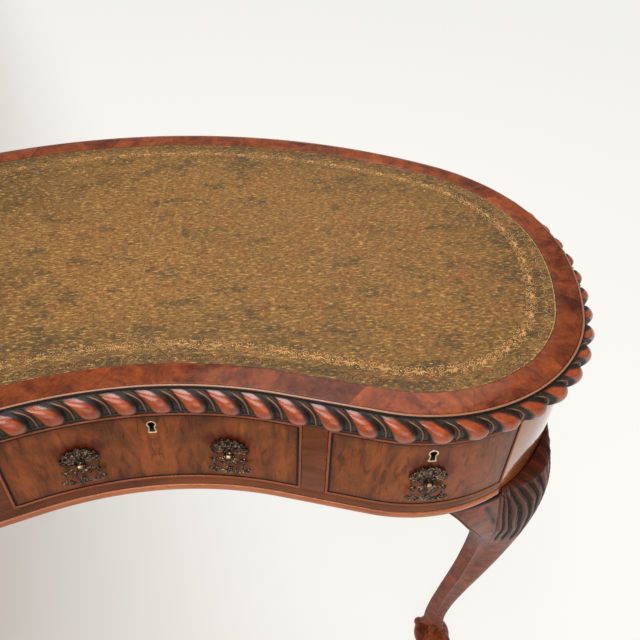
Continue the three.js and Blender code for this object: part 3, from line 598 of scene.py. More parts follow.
def make_polish_group():
    """French polish: a roughness that clouds over, and a few rubbed places"""
    tree, given, result = shader_group("french_polish", {"Vector": None, "Smooth": 0.2, "Dull": 0.4},
                                       ("Roughness",))
    haze = noise(given["Vector"], 14.0, 4.0, 0.6)
    rubbed = noise(given["Vector"], 160.0, 2.0, 0.5)
    share = spread(rubbed * 0.3 + haze * 0.7, 0.35, 0.65)
    put(result["Roughness"], field("ShaderNodeMix", {0: share, 2: given["Smooth"], 3: given["Dull"]}))
    return tree


FIGURE = make_figure_group()
BURR = make_burr_group()
POLISH = make_polish_group()


def polish(place, smooth, dull):
    return use_group(POLISH, {"Vector": place, "Smooth": smooth, "Dull": dull})["Roughness"]


# Finishes
def veneer(name, light, dark, contrast, turn=90, warp=0.05, smooth=0.16, dull=0.32, coat=0.2):
    """French polished figured walnut, laid by the distance along the desk"""
    material, tree, surface = new_material(name)
    figure = use_group(FIGURE, {
        "Vector": mapped(flat_place(tree), turn=(0, 0, math.radians(turn))), "Light": paint(*light),
        "Dark": paint(*dark), "Contrast": contrast, "Streak": 30.0, "Warp": warp,
    })
    dress(surface, {
        "Base Color": figure["Color"], "Roughness": polish(object_place(tree), smooth, dull),
        "Specular IOR Level": 0.08, "Coat Weight": coat, "Coat Roughness": 0.05,
        "Normal": bump(figure["Pores"], 0.12, -0.0002),
    })
    return material


def front_material():
    """Drawer fronts: matched flames about the middle of the desk, painted shade beside the
    cockbead, darker edges, and a red stain round the handles where the polish was never rubbed"""
    material, tree, surface = new_material("figured_walnut")
    place = object_place(tree)
    along = maths("ABSOLUTE", parts(flat_place(tree))[0])
    height = parts(place)[2]
    laid = joined(along, height)
    figure = use_group(FIGURE, {
        "Vector": mapped(laid, (1, 0.45, 1), (0, 0, 0.35)), "Light": paint(168, 90, 42),
        "Dark": paint(86, 46, 22), "Contrast": 1.0, "Streak": 30.0, "Warp": 0.13,
    })
    cloud = noise(laid, 17.0, 4.0, 0.6, 0.8)
    flame = noise(mapped(laid, (1, 0.3, 1), (0, 0, 0.5)), 46.0, 5.0, 0.65, 1.4)
    wisp = noise(mapped(laid, (1, 0.22, 1), (0, 0, 0.6)), 120.0, 4.0, 0.7, 1.0)
    away = [maths("ABSOLUTE", along - along_at_x(x, FACE_OUT)) for x in (INNER_HANDLE_X, SIDE_HANDLE_X)]
    aside = maths("MINIMUM", *away) * 0.8
    above = height - STAIN_Z
    reach = (flame - 0.5) * (36 * MM) + maths("SQRT", aside * aside + above * above)
    rise = maths("MINIMUM", height - DRAWER_BOTTOM_Z, height * -1.0 + DRAWER_TOP_Z)
    near = maths("MINIMUM", rise, attribute(tree, "side_gap")) - 2.8 * MM
    colour = layered(
        figure["Color"],
        (cloud, 0.5, 0.68, 0.0, 0.6, (78, 52, 28)),
        (flame, 0.52, 0.7, 0.0, 0.62, (166, 82, 38)),
        (wisp, 0.36, 0.46, 0.6, 0.0, (64, 34, 18)),
        (reach, 12 * MM, 27 * MM, 0.9, 0.0, (84, 28, 8), "SMOOTHSTEP"),
        # Darker towards the edges, and a near-black line of painted shade in the crease beside the cockbead
        (near, 0, 14 * MM, 0.5, 0.0, (56, 32, 18), "SMOOTHSTEP"),
        (near, 1.6 * MM, 3.2 * MM, 0.97, 0.0, (14, 7, 4)),
    )
    dress(surface, {
        "Base Color": colour, "Roughness": polish(place, 0.16, 0.32),
        "Specular IOR Level": 0.08, "Coat Weight": 0.2, "Coat Roughness": 0.06,
        "Normal": bump(figure["Pores"], 0.12, -0.0002),
    })
    return material


def burr_material():
    """Burr crossbanding in butted leaves, each with its own tone, dark at the joints"""
    material, tree, surface = new_material("burr_crossbanding")
    flat = flat_place(tree)
    run, section, _ = parts(flat)
    leaf_place = (section * 0.5 + run) * (BURR_LEAVES / (2 * HALF_LENGTH)) + 0.37
    leaf = maths("FLOOR", leaf_place)
    joint_line = spread(maths("PINGPONG", leaf_place, 0.5), 0.001, 0.004, 1.0, 0.0)
    tone = field("ShaderNodeTexWhiteNoise", {"W": leaf}, noise_dimensions="1D")
    burr = use_group(BURR, {
        "Vector": vector_maths("ADD", flat, joined(z=leaf * 0.37)), "Light": paint(158, 78, 38),
        "Dark": paint(84, 38, 23),
    })
    bright = spread(tone, 0, 1, 0.72, 1.12)
    grey = field("ShaderNodeCombineColor", {0: bright, 1: bright, 2: bright})
    colour = blend(1.0, burr["Color"], grey, "MULTIPLY")
    dress(surface, {
        "Base Color": blend(joint_line * 0.45, colour, paint(40, 18, 12)),
        "Roughness": polish(object_place(tree), 0.2, 0.34),
        "Specular IOR Level": 0.1, "Coat Weight": 0.22, "Coat Roughness": 0.08,
        "Normal": bump(joint_line * -3.0 + burr["Tone"], 0.12, 0.0002),
    })
    return material


def hide_material():
    """Olive hide, golden in the middle, with dashes of wear, a dark grain and a faint joint
    across it"""
    material, tree, surface = new_material("tooled_hide")
    place = object_place(tree)
    inward = parts(flat_place(tree))[1] * -1.0
    x, y, _ = parts(place)
    cloud = noise(place, 6.0, 4.0, 0.6, 0.4)
    patch = noise(mapped(place, (1, 1.7, 1)), 24.0, 5.0, 0.65)
    ruddy = noise(mapped(place, (1, 1.5, 1), place=(3, 1, 0)), 38.0, 4.0, 0.6)
    dashes = noise(mapped(place, (150, 420, 150)), 1.0, 3.0, 0.6)
    grain = noise(mapped(place, (1, 1.5, 1)), 330.0, 4.0, 0.75)
    middle = spread((cloud - 0.5) * 0.16 + inward, 0.05, 0.2)
    joint = (patch - 0.5) * (3 * MM) + maths("ABSOLUTE", y * -0.06 + x + 12 * MM)
    colour = layered(
        blend(middle, paint(100, 76, 42), paint(162, 114, 58)),
        (patch, 0.42, 0.62, 0.0, 1.0, (136, 98, 50)),
        (patch, 0.36, 0.47, 0.8, 0.0, (84, 68, 44)),
        (ruddy, 0.52, 0.66, 0.0, 0.55, (146, 90, 48)),
        ((cloud - 0.5) * 0.5 + x, -0.3, -0.05, 0.55, 0.0, (84, 66, 38), "SMOOTHSTEP"),
        (grain, 0.36, 0.52, 0.85, 0.0, (62, 48, 28)),
        (dashes, 0.55, 0.7, 0.0, 0.75, (206, 158, 88)),
        (dashes, 0.32, 0.45, 0.6, 0.0, (70, 54, 34)),
        (joint, 0.3 * MM, 1.2 * MM, 0.28, 0.0, (176, 136, 76)),
    )
    dress(surface, {
        "Base Color": colour, "Roughness": spread(grain, 0.3, 0.7, 0.5, 0.66),
        "Specular IOR Level": 0.2, "Normal": bump(grain * 0.6 + dashes * 0.6, 0.6, 0.0007),
    })
    return material


def gilt_material():
    """Gold leaf pressed into the hide, worn through in patches, least at the right"""
    material, tree, surface = new_material("gold_tooling")
    place = object_place(tree)
    wear = noise(place, 34.0, 4.0, 0.7)
    fine = noise(place, 420.0, 3.0, 0.7)
    kept = spread(parts(place)[0] * 0.35 + (fine * 0.6 + wear * 0.8), 0.56, 0.72)
    dress(surface, {
        "Base Color": blend(kept, paint(112, 92, 52), paint(214, 160, 98)),
        "Roughness": spread(kept, 0, 1, 0.6, 0.42), "Metallic": spread(kept, 0, 1, 0.0, 0.35),
        "Normal": bump(fine, 0.3, 0.0002),
    })
    return material


def blind_material():
    """Tooling pressed dark into the hide, with some gold left in it towards the right"""
    material, tree, surface = new_material("blind_tooling")
    place = object_place(tree)
    fine = noise(place, 300.0, 4.0, 0.7)
    kept = spread(parts(place)[0] * 0.9 + fine, 0.78, 0.95)
    dress(surface, {
        "Base Color": blend(kept, paint(62, 54, 30), paint(190, 150, 88)),
        "Roughness": 0.5, "Normal": bump(fine, 0.3, 0.0002),
    })
    return material


def carved_material(name, light, deep, hollow, rough=0.3, shine=0.35, coat=0.5):
    """Carved walnut: polish on the swellings; stain, dust and painted shade in the hollows, and
    a painted highlight with some wear on the fillets
    """
    material, tree, surface = new_material(name)
    place = object_place(tree)
    mottle = noise(place, 60.0, 5.0, 0.62, 0.5)
    fleck = noise(place, 420.0, 3.0, 0.7)
    grain = noise(mapped(place, (40, 40, 520)), 1.0, 3.0, 0.6)
    # Dark by how hollow a place is: stain and dust together with painted shade
    hollow_dirt_and_shade = (mottle - 0.5) * 0.5 + attribute(tree, "recess")
    blackened = spread(hollow_dirt_and_shade, 0.5, 0.88, kind="SMOOTHSTEP")
    wood = layered(
        blend(spread(mottle, 0.34, 0.66), paint(*deep), paint(*light)),
        (grain, 0.5, 0.68, 0.0, 0.4, (104, 42, 12)),
        (fleck, 0.56, 0.68, 0.0, 0.55, (84, 32, 10)),
        (hollow_dirt_and_shade, 0.12, 0.62, 0.0, 1.0, (78, 30, 11), "SMOOTHSTEP"),
    )
    dust_and_shade_colour = blend(spread(fleck, 0.5, 0.66), paint(*hollow), paint(54, 44, 34))
    # Light on the fillets' crests, the lip's edge and the rim: a painted highlight, with some wear on the
    # fillets
    rubbed = attribute(tree, "fillet") * 0.9
    dress(surface, {
        "Base Color": blend(rubbed, blend(blackened, wood, dust_and_shade_colour), paint(176, 120, 82)),
        "Roughness": spread(blackened, 0, 1, rough, 0.55), "Specular IOR Level": shine,
        "Coat Weight": spread(blackened, 0, 1, coat, 0.0), "Coat Roughness": 0.2,
        "Normal": bump(fleck * 0.5 + grain, 0.25, 0.0004),
    })
    return material


def brass_material(name, bright, dark, wear_low, wear_high, rough, specks=0.0):
    """Brass that is bright where it is rubbed and dark where the hand never reaches"""
    material, tree, surface = new_material(name)
    place = object_place(tree)
    tarnish = noise(place, 120.0, 4.0, 0.6)
    fleck = noise(place, 620.0, 2.0, 0.6)
    worn = tarnish - attribute(tree, "recess") * 0.22
    colour = blend(spread(worn, wear_low, wear_high), paint(*dark), paint(*bright))
    dress(surface, {
        "Base Color": blend(spread(fleck, 0.56, 0.62) * specks, colour, paint(224, 200, 172)),
        "Metallic": 0.85, "Roughness": spread(tarnish, 0.3, 0.7, rough + 0.1, rough),
        "Normal": bump(fleck, 0.25, 0.0003),
    })
    return material


def timber_material(name, light, dark, stretch, rough=0.6):
    """Plain unpolished timber with long straight grain"""
    material, tree, surface = new_material(name)
    place = object_place(tree)
    figure = noise(mapped(place, stretch), 1.0, 4.0, 0.6, 0.3)
    fine = noise(mapped(place, tuple(value * 7 for value in stretch)), 1.0, 2.0, 0.6)
    dust = noise(place, 12.0, 4.0, 0.6)
    colour = layered(
        blend(spread(figure, 0.35, 0.65), paint(*dark), paint(*light)),
        (fine, 0.55, 0.68, 0.0, 0.45, dark), (dust, 0.55, 0.75, 0.0, 0.3, (120, 105, 85)),
    )
    dress(surface, {
        "Base Color": colour, "Roughness": spread(figure, 0.3, 0.7, rough, rough + 0.15),
        "Normal": bump(fine, 0.25, 0.0003),
    })
    return material


LOOKS = {
    "front": front_material(),
    "rail": veneer("rail_walnut", (134, 72, 36), (76, 39, 18), 0.8),
    "bead": veneer("bead_walnut", (206, 126, 80), (152, 80, 42), 0.7, smooth=0.2, dull=0.3, coat=0.6),
    "cockbead": veneer("cockbead_walnut", (176, 96, 56), (118, 58, 30), 0.6),
    "plain": veneer("frieze_walnut", (192, 112, 56), (120, 62, 28), 0.7, 0, 0.06, 0.1, 0.18, 1.0),
    "burr": burr_material(),
    "hide": hide_material(),
    "gilt": gilt_material(),
    "blind": blind_material(),
    "gadroon": carved_material("gadroon_walnut", (180, 82, 34), (136, 56, 20), (24, 19, 13)),
    "leg": carved_material("leg_walnut", (150, 68, 26), (84, 38, 18), (44, 29, 22), 0.32, 0.08, 0.12),
    "antique": brass_material("antique_brass", (122, 94, 72), (46, 33, 27), 0.38, 0.56, 0.4, 0.5),
    "knuckle": brass_material("knuckle_brass", (214, 184, 138), (150, 116, 78), 0.34, 0.6, 0.38),
    "brass": brass_material("rubbed_brass", (255, 238, 200), (226, 192, 146), 0.4, 0.65, 0.34),
    "steel": brass_material("lock_steel", (140, 136, 128), (86, 80, 74), 0.45, 0.65, 0.4),
    "oak": timber_material("drawer_oak", (172, 132, 88), (128, 92, 58), (6, 60, 60)),
    "deal": timber_material("carcase_pine", (158, 118, 78), (112, 78, 48), (8, 60, 60)),
    "board": timber_material("board_walnut", (110, 72, 46), (74, 44, 28), (8, 60, 60)),
    # Near black: painted shade for the inside of the keyholes
    "hole": timber_material("key_hole_dark", (20, 12, 8), (10, 6, 4), (300, 300, 300)),
}


# Top
def make_top():
    burr_back = TOP_Z - VENEER_THICKNESS
    section = [
        (-BORDER_WIDTH, burr_back), (-LIP_WIDTH - SEAM, burr_back),
        (-LIP_WIDTH - SEAM, TOP_Z - 0.5 * MM), (-LIP_WIDTH - 0.5 * MM, TOP_Z - 0.15 * MM),
        (-LIP_WIDTH - 1.2 * MM, TOP_Z), (-17 * MM, TOP_Z), (-BORDER_WIDTH + 0.9 * MM, TOP_Z),
        (-BORDER_WIDTH + 0.2 * MM, TOP_Z - 0.15 * MM), (-BORDER_WIDTH, TOP_Z - 0.5 * MM),
    ]
    along, out, z = carried(full_turn(RING_ROWS), section)
    band = solid("burr_crossband", bend(along, out, z), grid_faces(*along.shape, True, True), "burr",
                 flat=np.stack([along, out], -1), closed=True)
    finished(band, "carcase", "burr_walnut", "burr_border")


def make_hide():
    """Leather panel: a rolled edge let in a hair below the crossbanding, and rings inwards"""
    top, inner = TOP_Z - HIDE_DROP, -BORDER_WIDTH - 1.1 * MM
    section = [(-BORDER_WIDTH - SEAM, top - HIDE_THICKNESS), (-BORDER_WIDTH - SEAM, top - 0.6 * MM),
               (-BORDER_WIDTH - 0.45 * MM, top - 0.15 * MM)]
    section += [(inner - i * 4.6 * MM, top) for i in range(26)]
    along, out, z = (values.T for values in carried(full_turn(540), section))
    faces = grid_faces(*along.shape, close_columns=True) + end_faces(*along.shape)
    panel = solid("writing_hide", bend(along, out, z), faces, "hide", flat=np.stack([along, out], -1))
    finished(panel, "carcase", "tooled_leather", "leather_panel")


# Geometry Nodes tree: tiles drawn straight, repeated along X and bent round a closed line
def make_repeat_tree():
    tree = bpy.data.node_groups.new("repeat_round_outline", "GeometryNodeTree")
    for title, kind in (("Geometry", "Geometry"), ("Tile", "Object"), ("Count", "Int"), ("Pitch", "Float"),
                        ("First", "Float"), ("Length", "Float"), ("Material", "Material")):
        tree.interface.new_socket(name=title, in_out="INPUT", socket_type=f"NodeSocket{kind}")
    tree.interface.new_socket(name="Geometry", in_out="OUTPUT", socket_type="NodeSocketGeometry")
    given = {socket.name: Field(socket) for socket in tree.nodes.new("NodeGroupInput").outputs}
    places = field("GeometryNodeMeshLine", {
        "Count": given["Count"], "Start Location": joined(given["First"]), "Offset": joined(given["Pitch"]),
    }, mode="OFFSET", count_mode="TOTAL")
    tile = field("GeometryNodeObjectInfo", {"Object": given["Tile"], "As Instance": True}, "Geometry")
    rows = field("GeometryNodeInstanceOnPoints", {"Points": places, "Instance": tile})
    plain = field("GeometryNodeRealizeInstances", {0: rows})
    position = node(tree, "GeometryNodeInputPosition")
    laid = field("GeometryNodeStoreNamedAttribute", {
        "Geometry": plain, "Name": "laid", "Value": position,
    }, data_type="FLOAT_VECTOR", domain="POINT")
    x, y, z = parts(position)
    run = maths("FLOORED_MODULO", x, given["Length"])
    outward = node(tree, "GeometryNodeInputNamedAttribute", {"Name": "outward"}, data_type="FLOAT_VECTOR")
    sample = field("GeometryNodeSampleCurve", {
        "Curves": field("GeometryNodeMeshToCurve", {0: given["Geometry"]}), "Value": outward,
        "Factor": maths("DIVIDE", run, given["Length"]),
    }, mode="FACTOR", data_type="FLOAT_VECTOR", use_all_curves=True).socket.node.outputs
    lifted = vector_maths("SCALE", Field(sample["Value"]), y)
    spot = vector_maths("ADD", vector_maths("ADD", Field(sample["Position"]), lifted), joined(z=z))
    bent = field("GeometryNodeSetPosition", {"Geometry": laid, "Position": spot})
    welded = field("GeometryNodeMergeByDistance", {"Geometry": bent, "Distance": 2e-5})
    smooth = field("GeometryNodeSetShadeSmooth", {"Geometry": welded, "Shade Smooth": True})
    last = field("GeometryNodeSetMaterial", {"Geometry": smooth, "Material": given["Material"]})
    put(tree.nodes.new("NodeGroupOutput").inputs[0], last)
    return tree


REPEAT = make_repeat_tree()


def repeat_round(name, tile, count, first, out, look):
    """Tiles repeated round the line that lies some way out from the lip, as one plain mesh"""
    turn = np.linspace(0, 2 * HALF_LENGTH, 1400, endpoint=False)
    line = bend(turn, out, 0)
    length = float(np.linalg.norm(np.roll(line, -1, axis=0) - line, axis=1).sum())
    host = bpy.data.meshes.new(name)
    host.from_pydata(line.tolist(), [(i, (i + 1) % len(turn)) for i in range(len(turn))], [])
    rays = host.attributes.new("outward", "FLOAT_VECTOR", "POINT")
    rays.data.foreach_set("vector", np.pad(outline_at(turn)[1], ((0, 0), (0, 1))).ravel())
    piece = new_object(name, host)
    modifier = piece.modifiers.new("repeat", "NODES")
    modifier.node_group = REPEAT
    values = {"Tile": tile, "Count": count, "Pitch": length / count, "First": first, "Length": length,
              "Material": LOOKS[look]}
    for item in REPEAT.interface.items_tree:
        if item.in_out == "INPUT" and item.name in values:
            modifier[item.identifier] = values[item.name]
    settle(piece)
    bpy.data.objects.remove(tile)
    return piece


# Gadroons
LOBE_COUNT, LOBE_PROUD, GROOVE_PROUD = 78, 16 * MM, 6.5 * MM
LIP_HEIGHT, LOBE_LEAN, FIRST_GROOVE = 4.0 * MM, 24 * MM, -1 * MM
LEAN_EASE, SEEN_DOWN, SEEN_OUT = 2.1, 0.755, 0.656


def smoothstep(value, low, high):
    share = np.clip((value - low) / (high - low), 0, 1)
    return share * share * (3 - 2 * share)


def lobe_half_width(seen):
    """Half width of a lobe as a share of the pitch, by the share of the way down its face"""
    return 0.24 + 0.13 * smoothstep(seen, 0, 0.5) - 0.06 * smoothstep(seen, 0.75, 1.1)


def make_gadroons():
    """Comma shaped lobes between raised fillets, leaning to the left as they rise, with a
    lip above, a narrow rim below and a cove under the rim painted dark as shadow"""
    pitch = 2 * HALF_LENGTH / LOBE_COUNT
    carve_top, carve_bottom = TOP_Z - LIP_HEIGHT, EDGE_BOTTOM_Z + 7.2 * MM
    lip = np.array([
        (-EDGE_THICKNESS, EDGE_BOTTOM_Z), (-EDGE_THICKNESS, TOP_Z - 2 * MM), (-LIP_WIDTH, TOP_Z - 2 * MM),
        (-LIP_WIDTH, TOP_Z - 0.25 * MM), (-LIP_WIDTH + 0.35 * MM, TOP_Z), (-1.2 * MM, TOP_Z),
        (-0.5 * MM, TOP_Z - 0.1 * MM), (0, TOP_Z - 0.6 * MM), (0, TOP_Z - 1.1 * MM),
        (-0.5 * MM, TOP_Z - 1.7 * MM), (-2 * MM, TOP_Z - 2.0 * MM), (-2.1 * MM, TOP_Z - 3.3 * MM),
        (-1 * MM, TOP_Z - 3.8 * MM),
    ])
    rim_out = 3.0 * MM
    rim = np.array([
        (rim_out - 0.3 * MM, carve_bottom - 0.2 * MM), (rim_out, carve_bottom - 0.5 * MM),
        (rim_out, carve_bottom - 1 * MM), (rim_out - 0.4 * MM, carve_bottom - 1.3 * MM),
        (-0.7 * MM, carve_bottom - 1.5 * MM), (-0.7 * MM, EDGE_BOTTOM_Z),
    ])
    down = (1 - np.cos(np.linspace(0, math.pi, 21))) / 2
    envelope = np.clip(np.sin(math.pi * down ** 0.88), 0, 1)
    last = smoothstep(down, 0.8, 1)
    crest = np.maximum(LOBE_PROUD * envelope ** 0.5, rim_out * last) - 0.2 * MM
    floor = np.maximum(GROOVE_PROUD * envelope ** 0.55, (rim_out - 0.6 * MM) * last) - 0.2 * MM
    fall = (carve_bottom - carve_top) * down
    seen = -fall * SEEN_DOWN + crest * SEEN_OUT
    seen = np.maximum.accumulate(seen) / seen.max()
    half = lobe_half_width(seen)[:, None]
    lobe_shares = np.sin(np.linspace(-1, 1, 13) * math.pi / 2)
    near = np.array([0, 0.014, 0.028, 0.045, 0.075, 0.09, 0.105])
    left = np.repeat(near[None], len(down), 0)
    right = np.repeat(1 - near[[5, 3, 2, 1, 0]][None], len(down), 0)
    phases = np.concatenate([left, 0.5 + half * lobe_shares[None], right], 1)
    across = np.clip(np.abs(phases - 0.5) / half, 0, 1)
    round_over = np.sqrt(1 - across ** 2)
    from_groove = np.minimum(phases, 1 - phases)
    fillet = np.clip(1 - from_groove / 0.028, 0, 1) ** 0.6
    second = np.clip(1 - np.abs(phases - 0.09) / 0.02, 0, 1)
    ends = (smoothstep(down, 0, 0.05) * (1 - smoothstep(down, 0.94, 1)))[:, None]
    ridge = (2.1 * MM * fillet + 0.8 * MM * second) * ends
    out = floor[:, None] + (crest - floor)[:, None] * round_over * ends + ridge
    lean = -LOBE_LEAN * (1 - seen) ** LEAN_EASE
    x = phases * pitch + lean[:, None]
    z = np.repeat((carve_top + fall)[:, None], x.shape[1], 1)
    # The lobes show polished colour on their middles only: their flanks, their tops under the lip and their
    # lower ends are painted dark, as shade along with stain
    rubbed = smoothstep(seen, 0.0, 0.24) * (1 - 0.95 * smoothstep(down, 0.74, 0.93))
    polished = (1 - smoothstep(across, 0.4, 1)) * rubbed[:, None]

    def plain_rows(profile, phase_row, lean_by):
        flat = np.repeat(phase_row[None], len(profile), 0)
        return (flat * pitch + lean_by, np.repeat(profile[:, :1], flat.shape[1], 1),
                np.repeat(profile[:, 1:], flat.shape[1], 1))

    above, below = plain_rows(lip, phases[0], lean[0]), plain_rows(rim, phases[-1], 0.0)
    points = np.stack([np.concatenate(rows) for rows in zip(above, (x, out, z), below)], -1)
    # Painted shade: the lip's rows half dark, the rows of the rim below nearly black
    recess = np.concatenate([np.full(above[0].shape, 0.5), 1 - polished, np.full(below[0].shape, 0.95)])
    plain_above, plain_below = np.zeros(above[0].shape), np.zeros(below[0].shape)
    ridge_wear_and_highlight = np.concatenate([plain_above, (fillet + 0.25 * second) * ends, plain_below])
    # Painted shade under the lip and painted shadow in the cove below the rim; a painted
    # highlight on the lip's edge and a little on the rim
    recess[8:len(lip)] = 1
    recess[-3:] = 1
    ridge_wear_and_highlight[5:8] = 0.8
    ridge_wear_and_highlight[len(lip) + len(down):-3] = 0.12
    mesh = mesh_of("gadroon_tile", points, [
        tuple(reversed(face)) for face in grid_faces(*points.shape[:2], close_rows=True)])
    point_values(mesh, "recess", recess)
    point_values(mesh, "fillet", ridge_wear_and_highlight)
    tile = new_object("gadroon_tile", mesh)
    piece = repeat_round("gadroon_moulding", tile, LOBE_COUNT, FIRST_GROOVE, 0.0, "gadroon")
    finished(piece, "carcase", "carved_walnut",
             "gadroon_front", "gadroon_right", "gadroon_back", "gadroon_left")


# Tooling on the hide, drawn flat in millimetres and pressed round the panel
def spiral(centre, first_radius, last_radius, first_turn, last_turn, count=14):
    """Points on a spiral between two radii and two angles in degrees"""
    turns = np.radians(np.linspace(first_turn, last_turn, count))
    radii = np.linspace(first_radius, last_radius, count)
    x, y = centre[0] + np.cos(turns) * radii, centre[1] + np.sin(turns) * radii
    return np.stack([x, y, np.zeros(count)], -1)


def tooled(shape, path, width):
    """A pressed line as a thin flat ribbon"""
    path = np.asarray(path, float) * MM
    path[:, 2] = TOOL_Z
    widths = np.broadcast_to(np.asarray(width, float) * MM / 2, len(path))
    shape.add_tube(path, widths, 4, flat=TOOL_HEIGHT / widths.max())


def petal(shape, root, tip, width):
    root, tip = np.array(root, float), np.array(tip, float)
    share = np.linspace(0, 1, 6)[:, None]
    path = np.concatenate([root + (tip - root) * share, np.zeros((6, 1))], 1)
    tooled(shape, path, width * np.sin(np.pi * (0.1 + 0.84 * share[:, 0])) ** 0.8)


def repeat_motif(name, tile_name, shape, count, out, look):
    mesh = mesh_of(tile_name, shape.points, shape.faces)
    turn_outwards(mesh)
    piece = repeat_round(name, new_object(tile_name, mesh), count, 0.0, out, look)
    finished(piece, "carcase", "tooled_leather")


def make_palmettes():
    """A palmette over three drooping leaves, between scrolls and loose petals"""
    shape = Shape()
    for i in range(7):
        angle = math.radians(-72 + 24 * i)
        x, y, reach = math.sin(angle), math.cos(angle), 6.6 if i % 2 else 7.6
        petal(shape, (x * 1.6, y * 1.6 - 2), (x * reach, y * reach - 2), 2.1)
    for i in (-1, 0, 1):
        petal(shape, (i * 1.2, -3), (i * 4.4, -7.6 + abs(i)), 1.9)
    for side in (-1, 1):
        tooled(shape, spiral((side * 11.2, -2.6), 4.4, 0.7, 90, 90 - side * 560), 0.9)
        tooled(shape, spiral((side * 12.8, 3.6), 3.0, 0.6, -90, -90 + side * 470), 0.8)
        stalk = ((2.5, -3.5), (5.6, -1.4), (8.4, 1.1), (11.2, 1.8))
        tooled(shape, [(side * x, y, 0) for x, y in stalk], 0.9)
        for x, y in ((7.4, 5.2), (9.6, 7.0), (7.6, -7.2), (16.4, 6.6), (16.6, -5.4)):
            petal(shape, (side * (x - 0.9), y), (side * (x + 0.9), y), 1.4)
    petal(shape, (16.4, 0), (18.8, 0), 3.4)
    repeat_motif("gold_palmettes", "palmette_tile", shape, 66, -60 * MM, "gilt")


def make_scallops():
    shape = Shape()
    tooled(shape, spiral((0, -0.6), 6.2, 6.2, 200, 340, 12), 1.3)
    tooled(shape, spiral((0, -0.8), 3.4, 3.4, 0, 360), 0.7)
    tooled(shape, [(-8, -2.4, 0), (-7.2, -0.4, 0), (-8, 1.4, 0)], 0.8)
    petal(shape, (-1.1, -0.8), (1.1, -0.8), 1.8)
    repeat_motif("blind_scallops", "scallop_tile", shape, 158, -38 * MM, "blind")


def make_edge_line():
    out, half = -33.2 * MM, 0.45 * MM
    ring = [(out - half, TOOL_Z), (out, TOOL_Z + 0.06 * MM), (out + half, TOOL_Z), (out, TOOL_Z - 0.2 * MM)]
    line = sweep("tooled_edge_line", full_turn(RING_ROWS), ring, "blind", closed=True)
    finished(line, "carcase", "tooled_leather")


make_top()
make_hide()
make_gadroons()
make_palmettes()
make_scallops()
make_edge_line()


# Fronts and friezes
def set_on_face(points, along, out, z):
    """Places points drawn flat (across, out of the face, up) on the curved face"""
    spot, ray = outline_at(np.array([along]))
    ray, spot = ray[0], spot[0] + ray[0] * out
    across = np.array([-ray[1], ray[0], 0])
    points = np.asarray(points, float)
    return (np.array([*spot, z]) + points[..., :1] * across + points[..., 1:2] * np.array([*ray, 0])
            + points[..., 2:3] * np.array([0, 0, 1]))


def cutter(polygon, back, front, along, out, z):
    """An upright outline (across, up) pushed through the face, to be cut away"""
    count = len(polygon)
    points = [(x, y, up) for y in (back, front) for x, up in polygon]
    faces = end_faces(2, count) + grid_faces(2, count, close_columns=True)
    mesh = mesh_of("cutter", set_on_face(points, along, out, z), faces)
    turn_outwards(mesh)
    return new_object("cutter", mesh)


def cut_away(piece, cutters):
    for other in cutters:
        modifier = piece.modifiers.new("cut", "BOOLEAN")
        modifier.operation = "DIFFERENCE"
        modifier.solver = "EXACT"
        modifier.object = other
    settle(piece)
    for other in cutters:
        bpy.data.objects.remove(other)


PLATE_TOP_RADIUS, PLATE_HEIGHT, PLATE_WAIST, PLATE_FOOT = 5.25 * MM, 19 * MM, 3.6 * MM, 4.9 * MM
PLATE_PROUD, PLATE_DEPTH, PLATE_THREAD = 0.5 * MM, 2.4 * MM, 1.45 * MM
PLATE_TOP_Z, PLATE_CENTRE = PLATE_HEIGHT / 2 - PLATE_TOP_RADIUS, np.array([0, 1 * MM])
KEYHOLE_RADIUS, KEYHOLE_FOOT, KEYHOLE_LENGTH = 3.1 * MM, 1.9 * MM, 9.4 * MM
KEY_Z = TOP_Z - 65.2 * MM
LOCK_HALF, LOCK_HEIGHT, LOCK_DEPTH = 23 * MM, 38 * MM, 9 * MM


def head_arc(radius, first, last, count):
    """The round top that the key plate and the keyhole share"""
    turns = np.radians(np.linspace(first, last, count))
    return [(math.cos(t) * radius, PLATE_TOP_Z + math.sin(t) * radius) for t in turns]


def plate_outline(grow=0.0):
    arc = head_arc(PLATE_TOP_RADIUS + grow, -50, 230, 25)
    waist, foot, foot_z = PLATE_WAIST + grow, PLATE_FOOT + grow, -PLATE_HEIGHT / 2 - grow
    start, side = arc[-1], []
    for t in np.linspace(0.12, 1, 8):
        side.append((start[0] * (1 - t) ** 2 - waist * 2 * t * (1 - t) - foot * t * t,
                     start[1] * (1 - t) ** 2 - PLATE_HEIGHT * 0.17 * 2 * t * (1 - t) + foot_z * t * t))
    return arc + side + [(-x, z) for x, z in reversed(side)]


def keyhole_outline(grow=0.0):
    foot, low = KEYHOLE_FOOT + grow, PLATE_TOP_Z - KEYHOLE_LENGTH - grow
    return head_arc(KEYHOLE_RADIUS + grow, -55, 235, 19) + [(-foot, low), (foot, low)]


def ray_loop(polygon, count=56):
    """Where rays from the plate's centre meet an outline, so that outlines have matching points"""
    polygon = np.array(polygon)
    loop = []
    for turn in np.linspace(0, 2 * np.pi, count, endpoint=False):
        ray = np.array([math.cos(turn), math.sin(turn)])
        best = 0.0
        for first, last in zip(polygon, np.roll(polygon, -1, axis=0)):
            edge = last - first
            determinant = ray[0] * -edge[1] + ray[1] * edge[0]
            if abs(determinant) < 1e-15:
                continue
            away = first - PLATE_CENTRE
            reach = (away[0] * -edge[1] + away[1] * edge[0]) / determinant
            share = (ray[0] * away[1] - ray[1] * away[0]) / determinant
            if reach > 0 and -1e-9 <= share <= 1 + 1e-9:
                best = max(best, reach)
        loop.append(PLATE_CENTRE + ray * best)
    return np.array(loop)


def ring_plate(name, rings, along, look):
    """A closed ring through matching loops, each given with how far it stands out"""
    points = [(x, y, z) for loop, y in rings for x, z in loop]
    faces = grid_faces(len(rings), len(rings[0][0]), close_rows=True, close_columns=True)
    return solid(name, set_on_face(points, along, FACE_OUT, KEY_Z), faces, look, 30)


